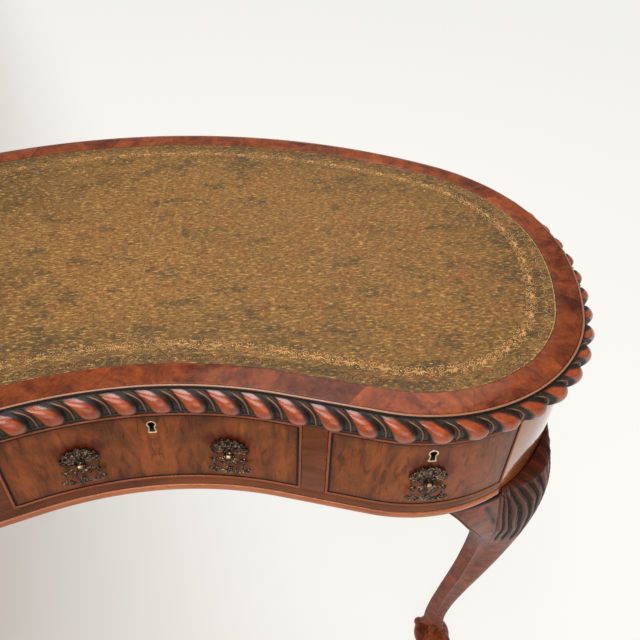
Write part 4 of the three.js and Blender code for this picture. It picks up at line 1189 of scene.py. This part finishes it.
def make_key_plate(name, along):
    """A thread of brass round a sunk keyhole"""
    def shrunk(amount):
        return ray_loop(plate_outline(-amount))

    face, back = PLATE_PROUD, PLATE_PROUD - PLATE_DEPTH
    rings = [(shrunk(0), back), (shrunk(0), face - 0.2 * MM), (shrunk(0.2 * MM), face),
             (shrunk(PLATE_THREAD - 0.2 * MM), face), (shrunk(PLATE_THREAD), face - 0.2 * MM),
             (shrunk(PLATE_THREAD), back)]
    plate = ring_plate(f"{name}_key_thread", rings, along, "brass")
    finished(plate, f"{name}_drawer", "pale_brass", f"{name}_escutcheon")
    # The keyhole is lined near black as painted shade inside it, and the sunk face round it is the same near
    # black
    hole, wide = (ray_loop(keyhole_outline(grow)) for grow in (0.3 * MM, 0.8 * MM))
    inner = shrunk(PLATE_THREAD + 0.02 * MM)
    rings = [(inner, -1.8 * MM), (inner, -0.1 * MM), (wide, -0.2 * MM), (hole, -0.6 * MM), (hole, -9 * MM)]
    plug = ring_plate(f"{name}_key_surround", rings, along, "hole")
    finished(plug, f"{name}_drawer", "figured_walnut")


def make_cockbead(name, x_first, x_last):
    """A half round rim mitred round a drawer's front"""
    width, proud, sunk = 2.6 * MM, 1.4 * MM, -8 * MM
    middle, overlap, shoulder = width / 2, 0.05 * MM, 0.2 * MM
    profile = [(-overlap, sunk)]
    for t in np.linspace(math.pi, 0, 8):
        x, y = math.cos(t) * (middle + overlap), math.sin(t) * (proud - shoulder)
        profile.append((middle + x, shoulder + y))
    profile.append((width, sunk))
    runs, climbs = len(steps(x_first, x_last)), 14
    rings = []
    for inset, out in profile:
        left, right = (along_at_x(x, FACE_OUT + out) for x in (x_first + inset, x_last - inset))
        corners = [(left, DRAWER_BOTTOM_Z + inset), (right, DRAWER_BOTTOM_Z + inset),
                   (right, DRAWER_TOP_Z - inset), (left, DRAWER_TOP_Z - inset)]
        line = np.concatenate([
            np.linspace(corners[i], corners[(i + 1) % 4], climbs if i % 2 else runs)[:-1] for i in range(4)])
        rings.append(bend(line[:, 0], FACE_OUT + out, line[:, 1]))
    rings = np.stack(rings, 1)
    rows, columns = rings.shape[:2]
    flat = np.stack(np.meshgrid(np.arange(rows) * 4 * MM, np.arange(columns) * MM, indexing="ij"), -1)
    bead = solid(f"{name}_cockbead", rings, grid_faces(rows, columns, True, True), "cockbead", flat=flat)
    finished(bead, f"{name}_drawer", "figured_walnut")


def make_drawer_front(name, x_first, x_last, key_along):
    x_first, x_last = x_first + DRAWER_GAP, x_last - DRAWER_GAP
    back = FACE_OUT - FRONT_THICKNESS
    low, high = DRAWER_BOTTOM_Z, DRAWER_TOP_Z
    rise = [low + up * MM for up in (0, 2.6, 4, 7, 14, 30, 56)]
    rise += [low + high - z for z in reversed(rise[:-1])]
    section = [(back, low), (back, high)] + [(FACE_OUT, z) for z in reversed(rise)]
    board = sweep(f"{name}_front_board", span(x_first, x_last, 3 * MM), section, "front")
    half, foot, over = LOCK_HALF + SEAM, -LOCK_HEIGHT - SEAM, 20 * MM
    cut_away(board, [
        cutter(plate_outline(0.1 * MM), -2.2 * MM, over, key_along, FACE_OUT, KEY_Z),
        cutter(keyhole_outline(0.4 * MM), -30 * MM, over, key_along, FACE_OUT, KEY_Z),
        cutter([(-half, foot), (half, foot), (half, over), (-half, over)], -20 * MM, LOCK_DEPTH + SEAM,
               key_along, back, high),
    ])
    points = np.zeros(len(board.data.vertices) * 3)
    board.data.vertices.foreach_get("co", points)
    x = points[::3]
    point_values(board.data, "side_gap", np.minimum(x - x_first, x_last - x))
    finished(sharpen(board), f"{name}_drawer", "figured_walnut", f"{name}_drawer_front")
    make_cockbead(name, x_first, x_last)
    make_key_plate(name, key_along)


def half_round(back, count=9):
    """The bead's section, with its back at some distance out"""
    middle, radius = (FRIEZE_BOTTOM_Z + BEAD_TOP_Z) / 2, (BEAD_TOP_Z - FRIEZE_BOTTOM_Z) / 2
    turns = np.linspace(-math.pi / 2, math.pi / 2, count)
    face = [(FACE_OUT + BEAD_PROUD * math.cos(t), middle + radius * math.sin(t)) for t in turns]
    return [(back, FRIEZE_BOTTOM_Z)] + face + [(back, BEAD_TOP_Z)]


def upright_section(depth, low, high, radius):
    inner = FACE_OUT - depth
    return rounded([(inner, low), (FACE_OUT, low), (FACE_OUT, high), (inner, high)], radius)


def make_fronts():
    side_near, ends = CENTRE_DRAWER_HALF + STILE_WIDTH, DRAWERS_END - SEAM
    key = along_at_x(SIDE_HANDLE_X, FACE_OUT)
    make_drawer_front("left", -DRAWERS_END, -side_near, -key)
    make_drawer_front("centre", -CENTRE_DRAWER_HALF, CENTRE_DRAWER_HALF, 0.0)
    make_drawer_front("right", side_near, DRAWERS_END, key)
    section = upright_section(RAIL_DEPTH, RAIL_BOTTOM_Z, RAIL_TOP_Z, 0.6 * MM)
    rail = sweep("drawer_rail", span(-ends, ends), section, "rail")
    finished(rail, "carcase", "figured_walnut", "front_rail")
    bead = sweep("front_nosing", span(-ends, ends), half_round(FACE_OUT - 22 * MM), "bead")
    finished(bead, "carcase", "bead_walnut", "front_bead")
    section = upright_section(RAIL_DEPTH, RAIL_TOP_Z + SEAM, FRIEZE_TOP_Z, 0.5 * MM)
    for side, sign in (("left", -1), ("right", 1)):
        near, far = sorted((sign * CENTRE_DRAWER_HALF, sign * side_near))
        stile = sweep(f"front_stile_{side}", span(near, far), section, "rail")
        finished(stile, "carcase", "figured_walnut", f"stile_{side}")


def make_friezes():
    """The walls of the ends and the back, and the bead between the legs' knees"""
    wall = upright_section(FRIEZE_THICKNESS, FRIEZE_BOTTOM_Z, FRIEZE_TOP_Z, 0.4 * MM)
    nosing = half_round(FACE_OUT - 3 * MM)
    gap, half_seam = KNEE_HALF + SEAM, SEAM / 2
    far_leg = 2 * HALF_LENGTH - REAR_LEG
    count = len(steps(0, REAR_LEG))
    for side, sign in (("right", 1), ("left", -1)):
        def row(out):
            return sign * np.linspace(along_at_x(DRAWERS_END, out), REAR_LEG - half_seam, count)

        panel = sweep(f"end_panel_{side}", row, wall, "plain")
        finished(panel, "carcase", "figured_walnut", f"end_frieze_{side}")
        bead = sweep(f"end_nosing_{side}", sign * steps(FRONT_LEG + gap, REAR_LEG - gap), nosing, "bead")
        finished(bead, "carcase", "bead_walnut")
    panel = sweep("back_panel", steps(REAR_LEG + half_seam, far_leg - half_seam), wall, "plain")
    finished(panel, "carcase", "figured_walnut", "back_frieze")
    bead = sweep("back_nosing", steps(REAR_LEG + gap, far_leg - gap), nosing, "bead")
    finished(bead, "carcase", "bead_walnut")


# Drop handles. Bare numbers are millimetres across, out of the face and up, until MM scales them.
HANDLE_Z, CROWN_HALF = TOP_Z - 105.2 * MM, 19.5 * MM
PIN_OUT, BOSS_OUT = 6.4, 6.2


def add_dome(shape, outline, centre, relief):
    """A plate with a domed face: rings from the middle out, the relief given by a function"""
    shares = np.arange(1, 10) / 9
    rings, values = [], []
    for share in shares:
        heights, hollows = zip(*(relief(share, j) for j in range(len(outline))))
        flat = centre + (outline - centre) * share
        rings.append(np.stack([flat[:, 0], heights, flat[:, 1]], -1))
        values.append(hollows)
    rings.append(np.stack([outline[:, 0], np.zeros(len(outline)), outline[:, 1]], -1))
    values.append([0.7] * len(outline))
    height, hollow = relief(0.0, 0)
    shape.add_rings(rings, values, (centre[0], height, centre[1]), hollow)


def scalloped(half, height, lift, count, swell, per=7):
    """Upper edge of the crown as a row of scallops from left to right"""
    turns = math.pi * (1 - np.arange(count + 1) / count)
    spots = np.stack([np.cos(turns) * half, np.sin(turns) * height + lift], -1)
    line = []
    for first, last in zip(spots, spots[1:]):
        bow = (first + last) * swell / 2
        for t in np.linspace(0, 1, per, endpoint=False):
            line.append(first * (1 - t) ** 2 + bow * 2 * t * (1 - t) + last * t * t)
    return line + [spots[-1]]


def make_crown():
    """The fixed plate: a fluted shell with a scalloped edge over two ears that hold the pin"""
    shape = Shape()
    half, height = 19.2 * MM, 19.5 * MM
    foot = [(0.9, 0.0), (0.7, -0.1), (0.48, -0.04), (0.26, -0.12), (0, -0.08)]
    foot += [(-x, z) for x, z in reversed(foot[:-1])]
    outline = np.array(scalloped(half, height, 1.2 * MM, 7, 1.32) + [(x * half, z * height) for x, z in foot])
    centre = np.array([0, 1.5 * MM])
    turn = np.arctan2(outline[:, 1] - centre[1], outline[:, 0] - centre[0])

    def relief(share, j):
        flute = abs(math.cos((turn[j] - math.pi / 2) * 7)) if turn[j] > -0.2 else 0.6
        ring = 0.5 + 0.5 * math.cos(share * 6 * math.pi)
        dome = 1.5 + 2.4 * math.sin(math.pi * share ** 0.8) * (0.5 + 0.5 * flute)
        dark = 0.95 - 0.75 * flute * abs(math.sin(math.pi * share)) ** 0.5
        return (dome + 0.6 * (share > 0.92) + 0.3 * ring) * MM, dark - 0.2 * ring

    add_dome(shape, outline, centre, relief)
    for side in (-1, 1):
        shape.add_boss((side * 15.8, 1.6, 0.2), 2.4)
        shape.add_boss((side * 10.6, 1.6, -0.9), 1.7)
        curl = spiral((side * 10.5, 6), 5.4, 1.2, 80, 80 - side * 420, 22)
        curl = np.stack([curl[:, 0], np.full(22, 3.4), curl[:, 1]], -1) * MM
        shape.add_tube(curl, 0.9 * MM * np.linspace(1.1, 0.7, 22), 6, 0.15, (0, 1, 0))
        ear = np.array([(side * 4.3, y, 0) for y in (1.5, 3, 5, 7, 8.6, 9.4)]) * MM
        shape.add_tube(ear, np.array([2.6, 2.4, 2.3, 2.5, 2.1, 0.9]) * MM, 12, 0.6, (1, 0, 0), 0.47)
    pin = np.array([(x, PIN_OUT, 0) for x in (-6, -5.7, -2, 2, 5.7, 6)]) * MM
    shape.add_tube(pin, np.array([0.9, 1.3, 1.3, 1.3, 1.3, 0.9]) * MM, 16, 0.3)
    return shape


# Lines of the drop's right half: spots, points, distance out, radius, taper, hollow and sides
DROP_LINES = (
    ([(1.5, -6.5), (6, -5), (11, -5.4), (15, -8.8), (16.4, -14.5), (15.6, -20), (12.4, -24.4), (7, -26.4),
      (2, -24.6)], 40, 6.3, 1.5, 0.8, 0.45, 8),
    ([(2, -29.4), (6, -27.4), (10, -29.2), (14, -27.8), (18, -28.4), (21.6, -26.6), (23.4, -23.4),
      (21, -21.2), (19, -23.2), (20.4, -24.8)], 48, 6.0, 1.45, 0.65, 0.4, 8),
    ([(1.4, -10.5), (4, -8.6), (7.6, -8.8), (9.6, -11.6), (8, -14.2), (5.4, -13.2), (6.4, -11.4)],
     26, 6.5, 1.0, 0.7, 0.5, 6),
    ([(12.6, -23.6), (15.2, -23), (17.8, -24.6), (19, -27)], 14, 6.2, 1.3, 0.6, 0.4, 8),
)
DROP_BOSSES = ((16.6, -7.2, 2.1), (6.2, -28.6, 1.9), (10.4, -28, 1.8), (14.4, -28.4, 1.8),
               (18.4, -27.6, 1.6), (21, -23.8, 1.4), (7.3, -11.6, 1.3), (3.2, -20, 1.2))


def make_drop():
    """The pierced drop: a stem with a leaf, two arms that end in ringed bosses above a row of
    scrolls, and a curl at each tip"""
    shape = Shape()
    hub = np.array([(x, PIN_OUT, 0) for x in (-2.5, -2.3, 0, 2.3, 2.5)]) * MM
    shape.add_tube(hub, np.array([2.2, 2.7, 2.6, 2.7, 2.2]) * MM, 18, 0.5)
    stem = np.array([(0, 6.3, z) for z in (-2, -6, -9, -12, -16, -20, -24, -27, -30, -31.8)]) * MM
    radii = np.array([2.0, 1.6, 1.5, 2.2, 1.5, 1.9, 3.2, 3.6, 2.4, 0.6]) * MM
    shape.add_tube(stem, radii, 10, 0.6, (0, 1, 0), 0.5)
    for side in (-1, 1):
        for spots, count, out, radius, taper, hollow, sides in DROP_LINES:
            line = smooth_line(spots, count)
            path = np.stack([side * line[:, 0], np.full(count, out), line[:, 1]], -1) * MM
            shape.add_tube(path, radius * MM * np.linspace(1, taper, count), sides, hollow, (0, 1, 0), 0.8)
        turns = np.linspace(0, 2 * math.pi, 15)
        ring = [(side * (16.6 + 3.3 * math.cos(t)), BOSS_OUT, -7.2 + 3.3 * math.sin(t)) for t in turns]
        shape.add_tube(np.array(ring) * MM, 0.8 * MM, 6, 0.8, (0, 1, 0))
        for x, z, radius in DROP_BOSSES:
            shape.add_boss((side * x, BOSS_OUT, z), radius)
    shape.add_boss((0, 7.4, -20), 1.6)
    return shape


def make_knuckle():
    """The rubbed block that hangs on the pin, cut across by a groove"""
    shape = Shape()
    levels = [(2.5, 0.7, 6.9), (2.0, 1, 8.6), (0.4, 1, 9.6), (0, 0.96, 8.6), (-0.4, 1, 9.6), (-1.9, 1, 8.8),
              (-2.5, 0.7, 7.2)]
    across = np.array([-1, -0.9, 0, 0.9, 1, 0.9, -0.9]) * 2.4
    proud = np.array([-0.8, 0, 0.3, 0, -0.8, -2, -2])
    shape.add_rings([
        np.stack([across * width, proud + out, np.full(7, z)], -1) * MM for z, width, out in levels])
    return shape


def make_handles():
    crown, drop, knuckle = make_crown(), make_drop(), make_knuckle()
    for name, x in HANDLES.items():
        along = along_at_x(x, FACE_OUT)
        in_hollow = abs(along) < OUTLINE_LENGTHS[0]
        stand = 2 * SEAM + CROWN_HALF ** 2 / (2 * HOLLOW_RADIUS) if in_hollow else SEAM
        drawer, swing = f"{name.split('_')[0]}_drawer", f"{name}_drop"
        for shape, title, look, body, *nodes in (
                (crown, "crown", "antique", drawer, f"{name}_handle_plate"),
                (drop, "swing", "antique", swing, f"{name}_handle_drop"),
                (knuckle, "knuckle", "knuckle", swing)):
            points = set_on_face(shape.points, along, FACE_OUT + stand, HANDLE_Z)
            piece = solid(f"{name}_{title}", points, shape.faces, look, 50, recess=shape.values)
            finished(piece, body, "antique_brass", *nodes)


# Legs
EAR_REACH, KNEE_RISE, KNEE_PROUD, FOOT_INSET = 146 * MM, 9.8 * MM, 25 * MM, 50 * MM
ANKLE_RADIUS, BALL_RADIUS, BALL_HEIGHT, SOLE_RADIUS = 15.5 * MM, 32 * MM, 54 * MM, 17 * MM
LEG_HEIGHT, POST_HALF, CARVED_HEIGHT = FRIEZE_BOTTOM_Z - SEAM, 30 * MM, 150 * MM
# Share of the height, half width, then how far the face, its edge and the back stand out
KNEE_LEVELS = np.array([
    [1.0, 1.0, 0.72, -0.12, 1.1], [0.965, 0.89, 0.98, -0.12, 1.12], [0.9, 0.72, 1.14, -0.16, 1.1],
    [0.81, 0.48, 1.02, -0.3, 1.0], [0.72, 0.31, 0.76, -0.6, 0.88], [0.62, 0.215, 0.36, -0.86, 0.86],
    [0.5, 0.17, -0.2, -1.16, 0.98], [0.37, 0.135, -0.84, -1.6, 1.16], [0.25, 0.112, -1.34, -1.92, 1.34],
    [0.17, 0.106, -1.5, -2.04, 1.4], [0.11, 0.112, -1.4, -1.98, 1.38], [0.05, 0.085, -1.62, -1.98, 1.22],
])
FACE_ENDS = np.linspace(-1, 1, 171)
FACE_SHARES = np.sin(FACE_ENDS * math.pi / 2) * 0.2 + FACE_ENDS * 0.8


def between(table, places):
    """Rows of a table at other values of its first column, on smooth curves"""
    table = table[np.argsort(table[:, 0])]
    knots, values = table[:, 0], table[:, 1:]
    slopes = np.gradient(values, knots, axis=0)
    i = np.clip(np.searchsorted(knots, places) - 1, 0, len(knots) - 2)
    gap = (knots[i + 1] - knots[i])[:, None]
    t = ((places - knots[i])[:, None] / gap).clip(0, 1)
    return (values[i] * (1 + 2 * t) * (1 - t) ** 2 + slopes[i] * gap * t * (1 - t) ** 2
            + values[i + 1] * t * t * (3 - 2 * t) + slopes[i + 1] * gap * t * t * (t - 1))


def knee_face(across, half, proud, edge):
    """How far the face of the leg stands out, by the distance from its middle line: a narrow
    crest on a wide swelling that dies into the ears"""
    crest_half = np.minimum(half, KNEE_HALF * 1.06)
    wide = np.cos(np.pi / 2 * np.clip(np.abs(across) / half, 0, 1)) ** 1.35
    crest = np.cos(np.pi / 2 * np.clip(np.abs(across) / crest_half, 0, 1)) ** 2
    return edge + (proud - edge) * (0.42 * wide + 0.58 * crest)


# Distances of the grooves between strands from the middle line, at five shares of the fall
STRAND_FALLS = [0, 0.05, 0.3, 0.76, 1.1]
STRAND_SIDES = np.array([
    [-22, -26, -30, -32, -32], [2, -4, -9, -12, -14], [24, 17, 6, -2, -6], [42, 34, 16.5, 5, 0],
    [56, 50, 27, 13, 7], [63, 60, 42, 24, 15], [67, 65.5, 54.5, 36, 24], [70, 69, 61, 44, 31],
    [75, 74, 67, 51, 38],
]) * MM


def carving(across, z):
    """Lift of the knee's carving at one level and how hollow it is: strands that fan out under
    the bead's level, fall over the knee and end at the crest, with a plain ear beyond a hollow"""
    side = np.abs(across)
    fall = min(max((FRIEZE_BOTTOM_Z + KNEE_RISE - z) / CARVED_HEIGHT, 0.0), 1.4)
    lines = np.array([np.interp(fall, STRAND_FALLS, sides) for sides in STRAND_SIDES])
    strands = np.interp(side, lines, np.arange(len(lines)))
    strands = strands + 0.07 * np.sin(fall * 13 + strands * 1.7)
    inward = lines[-1] - side
    ridge = np.abs(np.sin(strands * math.pi))
    fine = 0.5 + 0.5 * np.cos(strands * math.pi * 6 + 1.4 * np.sin(fall * 8 + strands))
    gap = np.interp(strands, np.arange(len(lines) - 1) + 0.5, np.diff(lines))
    fine = fine * smoothstep(gap, 4 * MM, 9 * MM) * (0.45 + 0.55 * smoothstep(side, 4 * MM, 26 * MM))
    inside = smoothstep(inward, -1 * MM, 5 * MM) * (1 - smoothstep(fall, 0.98, 1.2))
    groove = np.exp(-(inward / (2.4 * MM)) ** 2) * (1 - smoothstep(fall, 0.8, 1.1))
    crescent_line = inward + max(19 - 42 * (fall - 0.17), 0) * MM
    crescent = np.exp(-(crescent_line / (5.6 * MM)) ** 2) * smoothstep(fall, 0.08, 0.2)
    crescent = crescent * (1 - smoothstep(fall, 0.5, 0.66))
    lift = inside * (2.8 * MM * (ridge ** 0.6 - 0.75) - 0.9 * MM * fine) - 1.2 * MM * (groove + crescent)
    # How hollow a place is darkens it: painted shade with dust in the grooves, the ridges' tops left light,
    # and a middling dark just under the bead
    hollow = inside * np.clip(1.0 - 0.82 * ridge ** 1.6 + 0.42 * fine, 0, 1)
    hollow = hollow + (0.5 * inside - hollow) * (1 - smoothstep(fall, 0.02, 0.14)) * 0.6
    return lift, np.maximum(hollow, np.maximum(0.7 * groove, 0.66 * crescent))


def add_post(shape, leg_along):
    """The leg from the bead's level to the ankle, with a rim along the edge of its ears"""
    heights = np.concatenate([np.linspace(1.0, 0.7, 132), np.linspace(0.7, 0.05, 60)[1:]])
    rear_shares = np.linspace(1, -1, 34)[1:-1]
    rings, hollows = [], []
    for height, (half, proud, edge, back) in zip(heights, between(KNEE_LEVELS, heights)):
        half, proud, edge, back = half * EAR_REACH, proud * KNEE_PROUD, edge * KNEE_PROUD, back * FOOT_INSET
        z = height * LEG_HEIGHT
        across = half * FACE_SHARES
        lift, hollow = carving(across, z)
        # Painted shade in the groove along the ears' edge, and painted shadow on the ears just under the bead
        rim = np.exp(-((half - np.abs(across) - 2.8 * MM) / MM) ** 2) * smoothstep(half, 52 * MM, 74 * MM)
        under = smoothstep(height, 0.984, 0.998) * smoothstep(np.abs(across), 62 * MM, 70 * MM)
        ear_back = max(-back, edge - FRIEZE_THICKNESS)
        face_out = knee_face(across, half, proud, edge) + lift - 0.8 * MM * rim
        rear_out = ear_back + (-back - ear_back) * np.cos(np.pi / 2 * rear_shares) ** 0.5
        along = leg_along + np.concatenate([across, min(half, POST_HALF) * rear_shares])
        rings.append(bend(along, np.concatenate([face_out, rear_out]), z))
        hollows.append(np.concatenate([np.maximum.reduce([hollow, rim, under]), np.zeros(len(rear_shares))]))
    shape.add_rings(rings, hollows)


def add_collar(shape, leg_along):
    """The knee's shoulder, rolled back to the frieze between the ends of the bead. Its first
    ring is sunk in the knee."""
    rises = [-1.4, *np.linspace(-0.05, 0.7, 7), 0.8, 0.88, 0.94, 0.98, 1.0]
    back_out, count = FACE_OUT + 2 * SEAM, len(FACE_SHARES)
    proud, edge = between(KNEE_LEVELS, np.array([1.0]))[0][1:3] * KNEE_PROUD
    rings, hollows = [], []
    for rise in rises:
        sunk = rise < -1
        across = (KNEE_HALF - SEAM) * (0.93 if sunk else 0.998) * FACE_SHARES
        z = LEG_HEIGHT + KNEE_RISE * rise
        lift, hollow = carving(across, z)
        rolled = math.sqrt(max(0.0, 1 - ((1.6 + rise) / 2.6) ** 2)) / math.sqrt(1 - (1.6 / 2.6) ** 2)
        swell = knee_face(across, EAR_REACH, proud, edge) + lift
        out = back_out + 0.3 * MM + np.maximum(swell - back_out, 0.1 * MM) * min(rolled, 1.0)
        out = np.maximum(out - (3 * MM if sunk else 0), back_out + 0.2 * MM)
        along = leg_along + np.concatenate([across, across[::-1]])
        rings.append(bend(along, np.concatenate([out, np.full(count, back_out)]), z))
        # The back of each ring, against the frieze under the bead, is painted dark as shade
        hollows.append(np.concatenate([hollow, np.ones(count)]))
    shape.add_rings(rings, hollows)


# Spots of a claw: ankle radii and ball radii from the ball's axis, share of the ball's height,
# and radius as a share of the ankle's
CLAW_SPOTS = [(0.3, 0, 1.34, 0.46), (0.84, 0, 1.02, 0.5), (0, 0.72, 0.84, 0.42), (0, 0.98, 0.52, 0.34),
              (0, 0.79, 0.12, 0.2)]


def add_foot(shape, leg_along):
    """A ball cut flat at the sole, and four claws with knuckles and talons"""
    centre, ray = bend([leg_along], -FOOT_INSET, 0)[0], outline_at([leg_along])[1][0]
    lowest = -math.acos(SOLE_RADIUS / BALL_RADIUS)
    tall = BALL_HEIGHT / (1 - math.sin(lowest))
    turn = np.linspace(lowest, math.pi / 2 - 0.02, 22)[:, None]
    around = np.linspace(0, 2 * math.pi, 40, endpoint=False)
    shape.add_rings(np.stack(np.broadcast_arrays(
        centre[0] + np.cos(around) * np.cos(turn) * BALL_RADIUS,
        centre[1] + np.sin(around) * np.cos(turn) * BALL_RADIUS,
        tall * (np.sin(turn) - math.sin(lowest))), -1), 0.2)
    knuckles = 1 + 0.16 * np.cos(np.linspace(0, 6 * math.pi, 34))
    for quarter in range(4):
        heading = polar(math.atan2(ray[1], ray[0]) + quarter * math.pi / 2, 1)
        spots = []
        for ankle, ball, height, radius in CLAW_SPOTS:
            x, y = centre[:2] + heading * (ankle * ANKLE_RADIUS + ball * BALL_RADIUS)
            spots.append((x, y, height * BALL_HEIGHT, radius * ANKLE_RADIUS))
        line = smooth_line(spots, 34)
        line[:, 2] = np.maximum(line[:, 2], 3 * MM)
        shape.add_tube(line[:, :3], line[:, 3] * knuckles, 12, 0.0, (-heading[1], heading[0], 0))


def make_leg(row, leg_along):
    shape = Shape()
    for add in (add_post, add_collar, add_foot):
        add(shape, leg_along)
    for side, sign in (("right", 1), ("left", -1)):
        name, points = f"{row}_cabriole_{side}", np.array(shape.points) * (sign, 1, 1)
        leg = solid(name, points, shape.faces, "leg", 55, recess=shape.values)
        finished(leg, "carcase", "carved_walnut", f"{row}_leg_{side}")


make_fronts()
make_friezes()
make_handles()
make_leg("front", FRONT_LEG)
make_leg("rear", REAR_LEG)


# Finishes of the frame's own parts
def dress_frame():
    looks = {
        "top_board": "board", "top_lining": "board", "rear_cross_rail": "deal", "lock_case": "steel",
        "lock_bolt": "brass", "drawer_frame": "oak", "drawer_bottom": "oak",
    }
    for name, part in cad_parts.items():
        look = next((looks[key] for key in looks if name.endswith(key)), "deal")
        if part.type == "MESH":
            part.data.materials.clear()
            part.data.materials.append(LOOKS[look])


dress_frame()


# Floor and light
LAMPS = (
    ("softbox_front", (-0.5, -1.3, 2.4), 1.5, 30), ("softbox_over", (0.0, 0.25, 2.5), 0.8, 15),
    ("softbox_low", (0.4, -2.2, 1.2), 1.4, 10), ("softbox_back", (0.5, 1.3, 2.5), 1.4, 10),
)


def make_floor(size=6.0):
    """A pale floor that the camera sees almost evenly lit, with painted shade that makes it
    greyer at the lower left
    """
    corners = [(x * size, y * size, 0) for x, y in ((-1, -1), (1, -1), (1, 1), (-1, 1))]
    material = bpy.data.materials.new("studio_floor")
    material.use_nodes = True
    tree = material.node_tree
    tree.nodes.clear()
    x, y, _ = parts(object_place(tree))
    shade = spread(y * 0.35 + x, -0.95, 0.3, kind="SMOOTHSTEP")
    tint = blend(shade, paint(150, 132, 120), paint(255, 255, 250))
    rays = node(tree, "ShaderNodeLightPath").socket.node.outputs
    seen = maths("MAXIMUM", Field(rays["Is Camera Ray"]), Field(rays["Is Glossy Ray"])) * 0.8
    diffuse = node(tree, "ShaderNodeBsdfDiffuse", {"Color": (0.84, 0.79, 0.76, 1)})
    mix = field("ShaderNodeMixShader", {
        0: seen, 1: diffuse, 2: field("ShaderNodeEmission", {"Color": tint, "Strength": 1.04}),
    })
    put(tree.nodes.new("ShaderNodeOutputMaterial").inputs[0], mix)
    new_object("studio_floor", mesh_of("studio_floor", corners, [(0, 1, 2, 3)]), material)


def make_light():
    """A pale world and four soft lamps that face the desk"""
    world = bpy.data.worlds.new("studio")
    bpy.context.scene.world = world
    world.use_nodes = True
    tree = world.node_tree
    tree.nodes.clear()
    background = node(tree, "ShaderNodeBackground", {"Color": (1.0, 0.97, 0.94, 1), "Strength": 0.28})
    put(tree.nodes.new("ShaderNodeOutputWorld").inputs[0], background)
    for name, place, size, power in LAMPS:
        data = bpy.data.lights.new(name, "AREA")
        data.shape = "DISK"
        data.size = size
        data.energy = power
        data.color = (1, 0.98, 0.95)
        lamp = bpy.data.objects.new(name, data)
        bpy.context.scene.collection.objects.link(lamp)
        aim = Vector((0, 0, 0.7)) - Vector(place)
        lamp.matrix_world = Matrix.Translation(place) @ aim.to_track_quat("-Z", "Y").to_matrix().to_4x4()


make_floor()
make_light()
bpy.context.scene.view_settings.view_transform = "Standard"
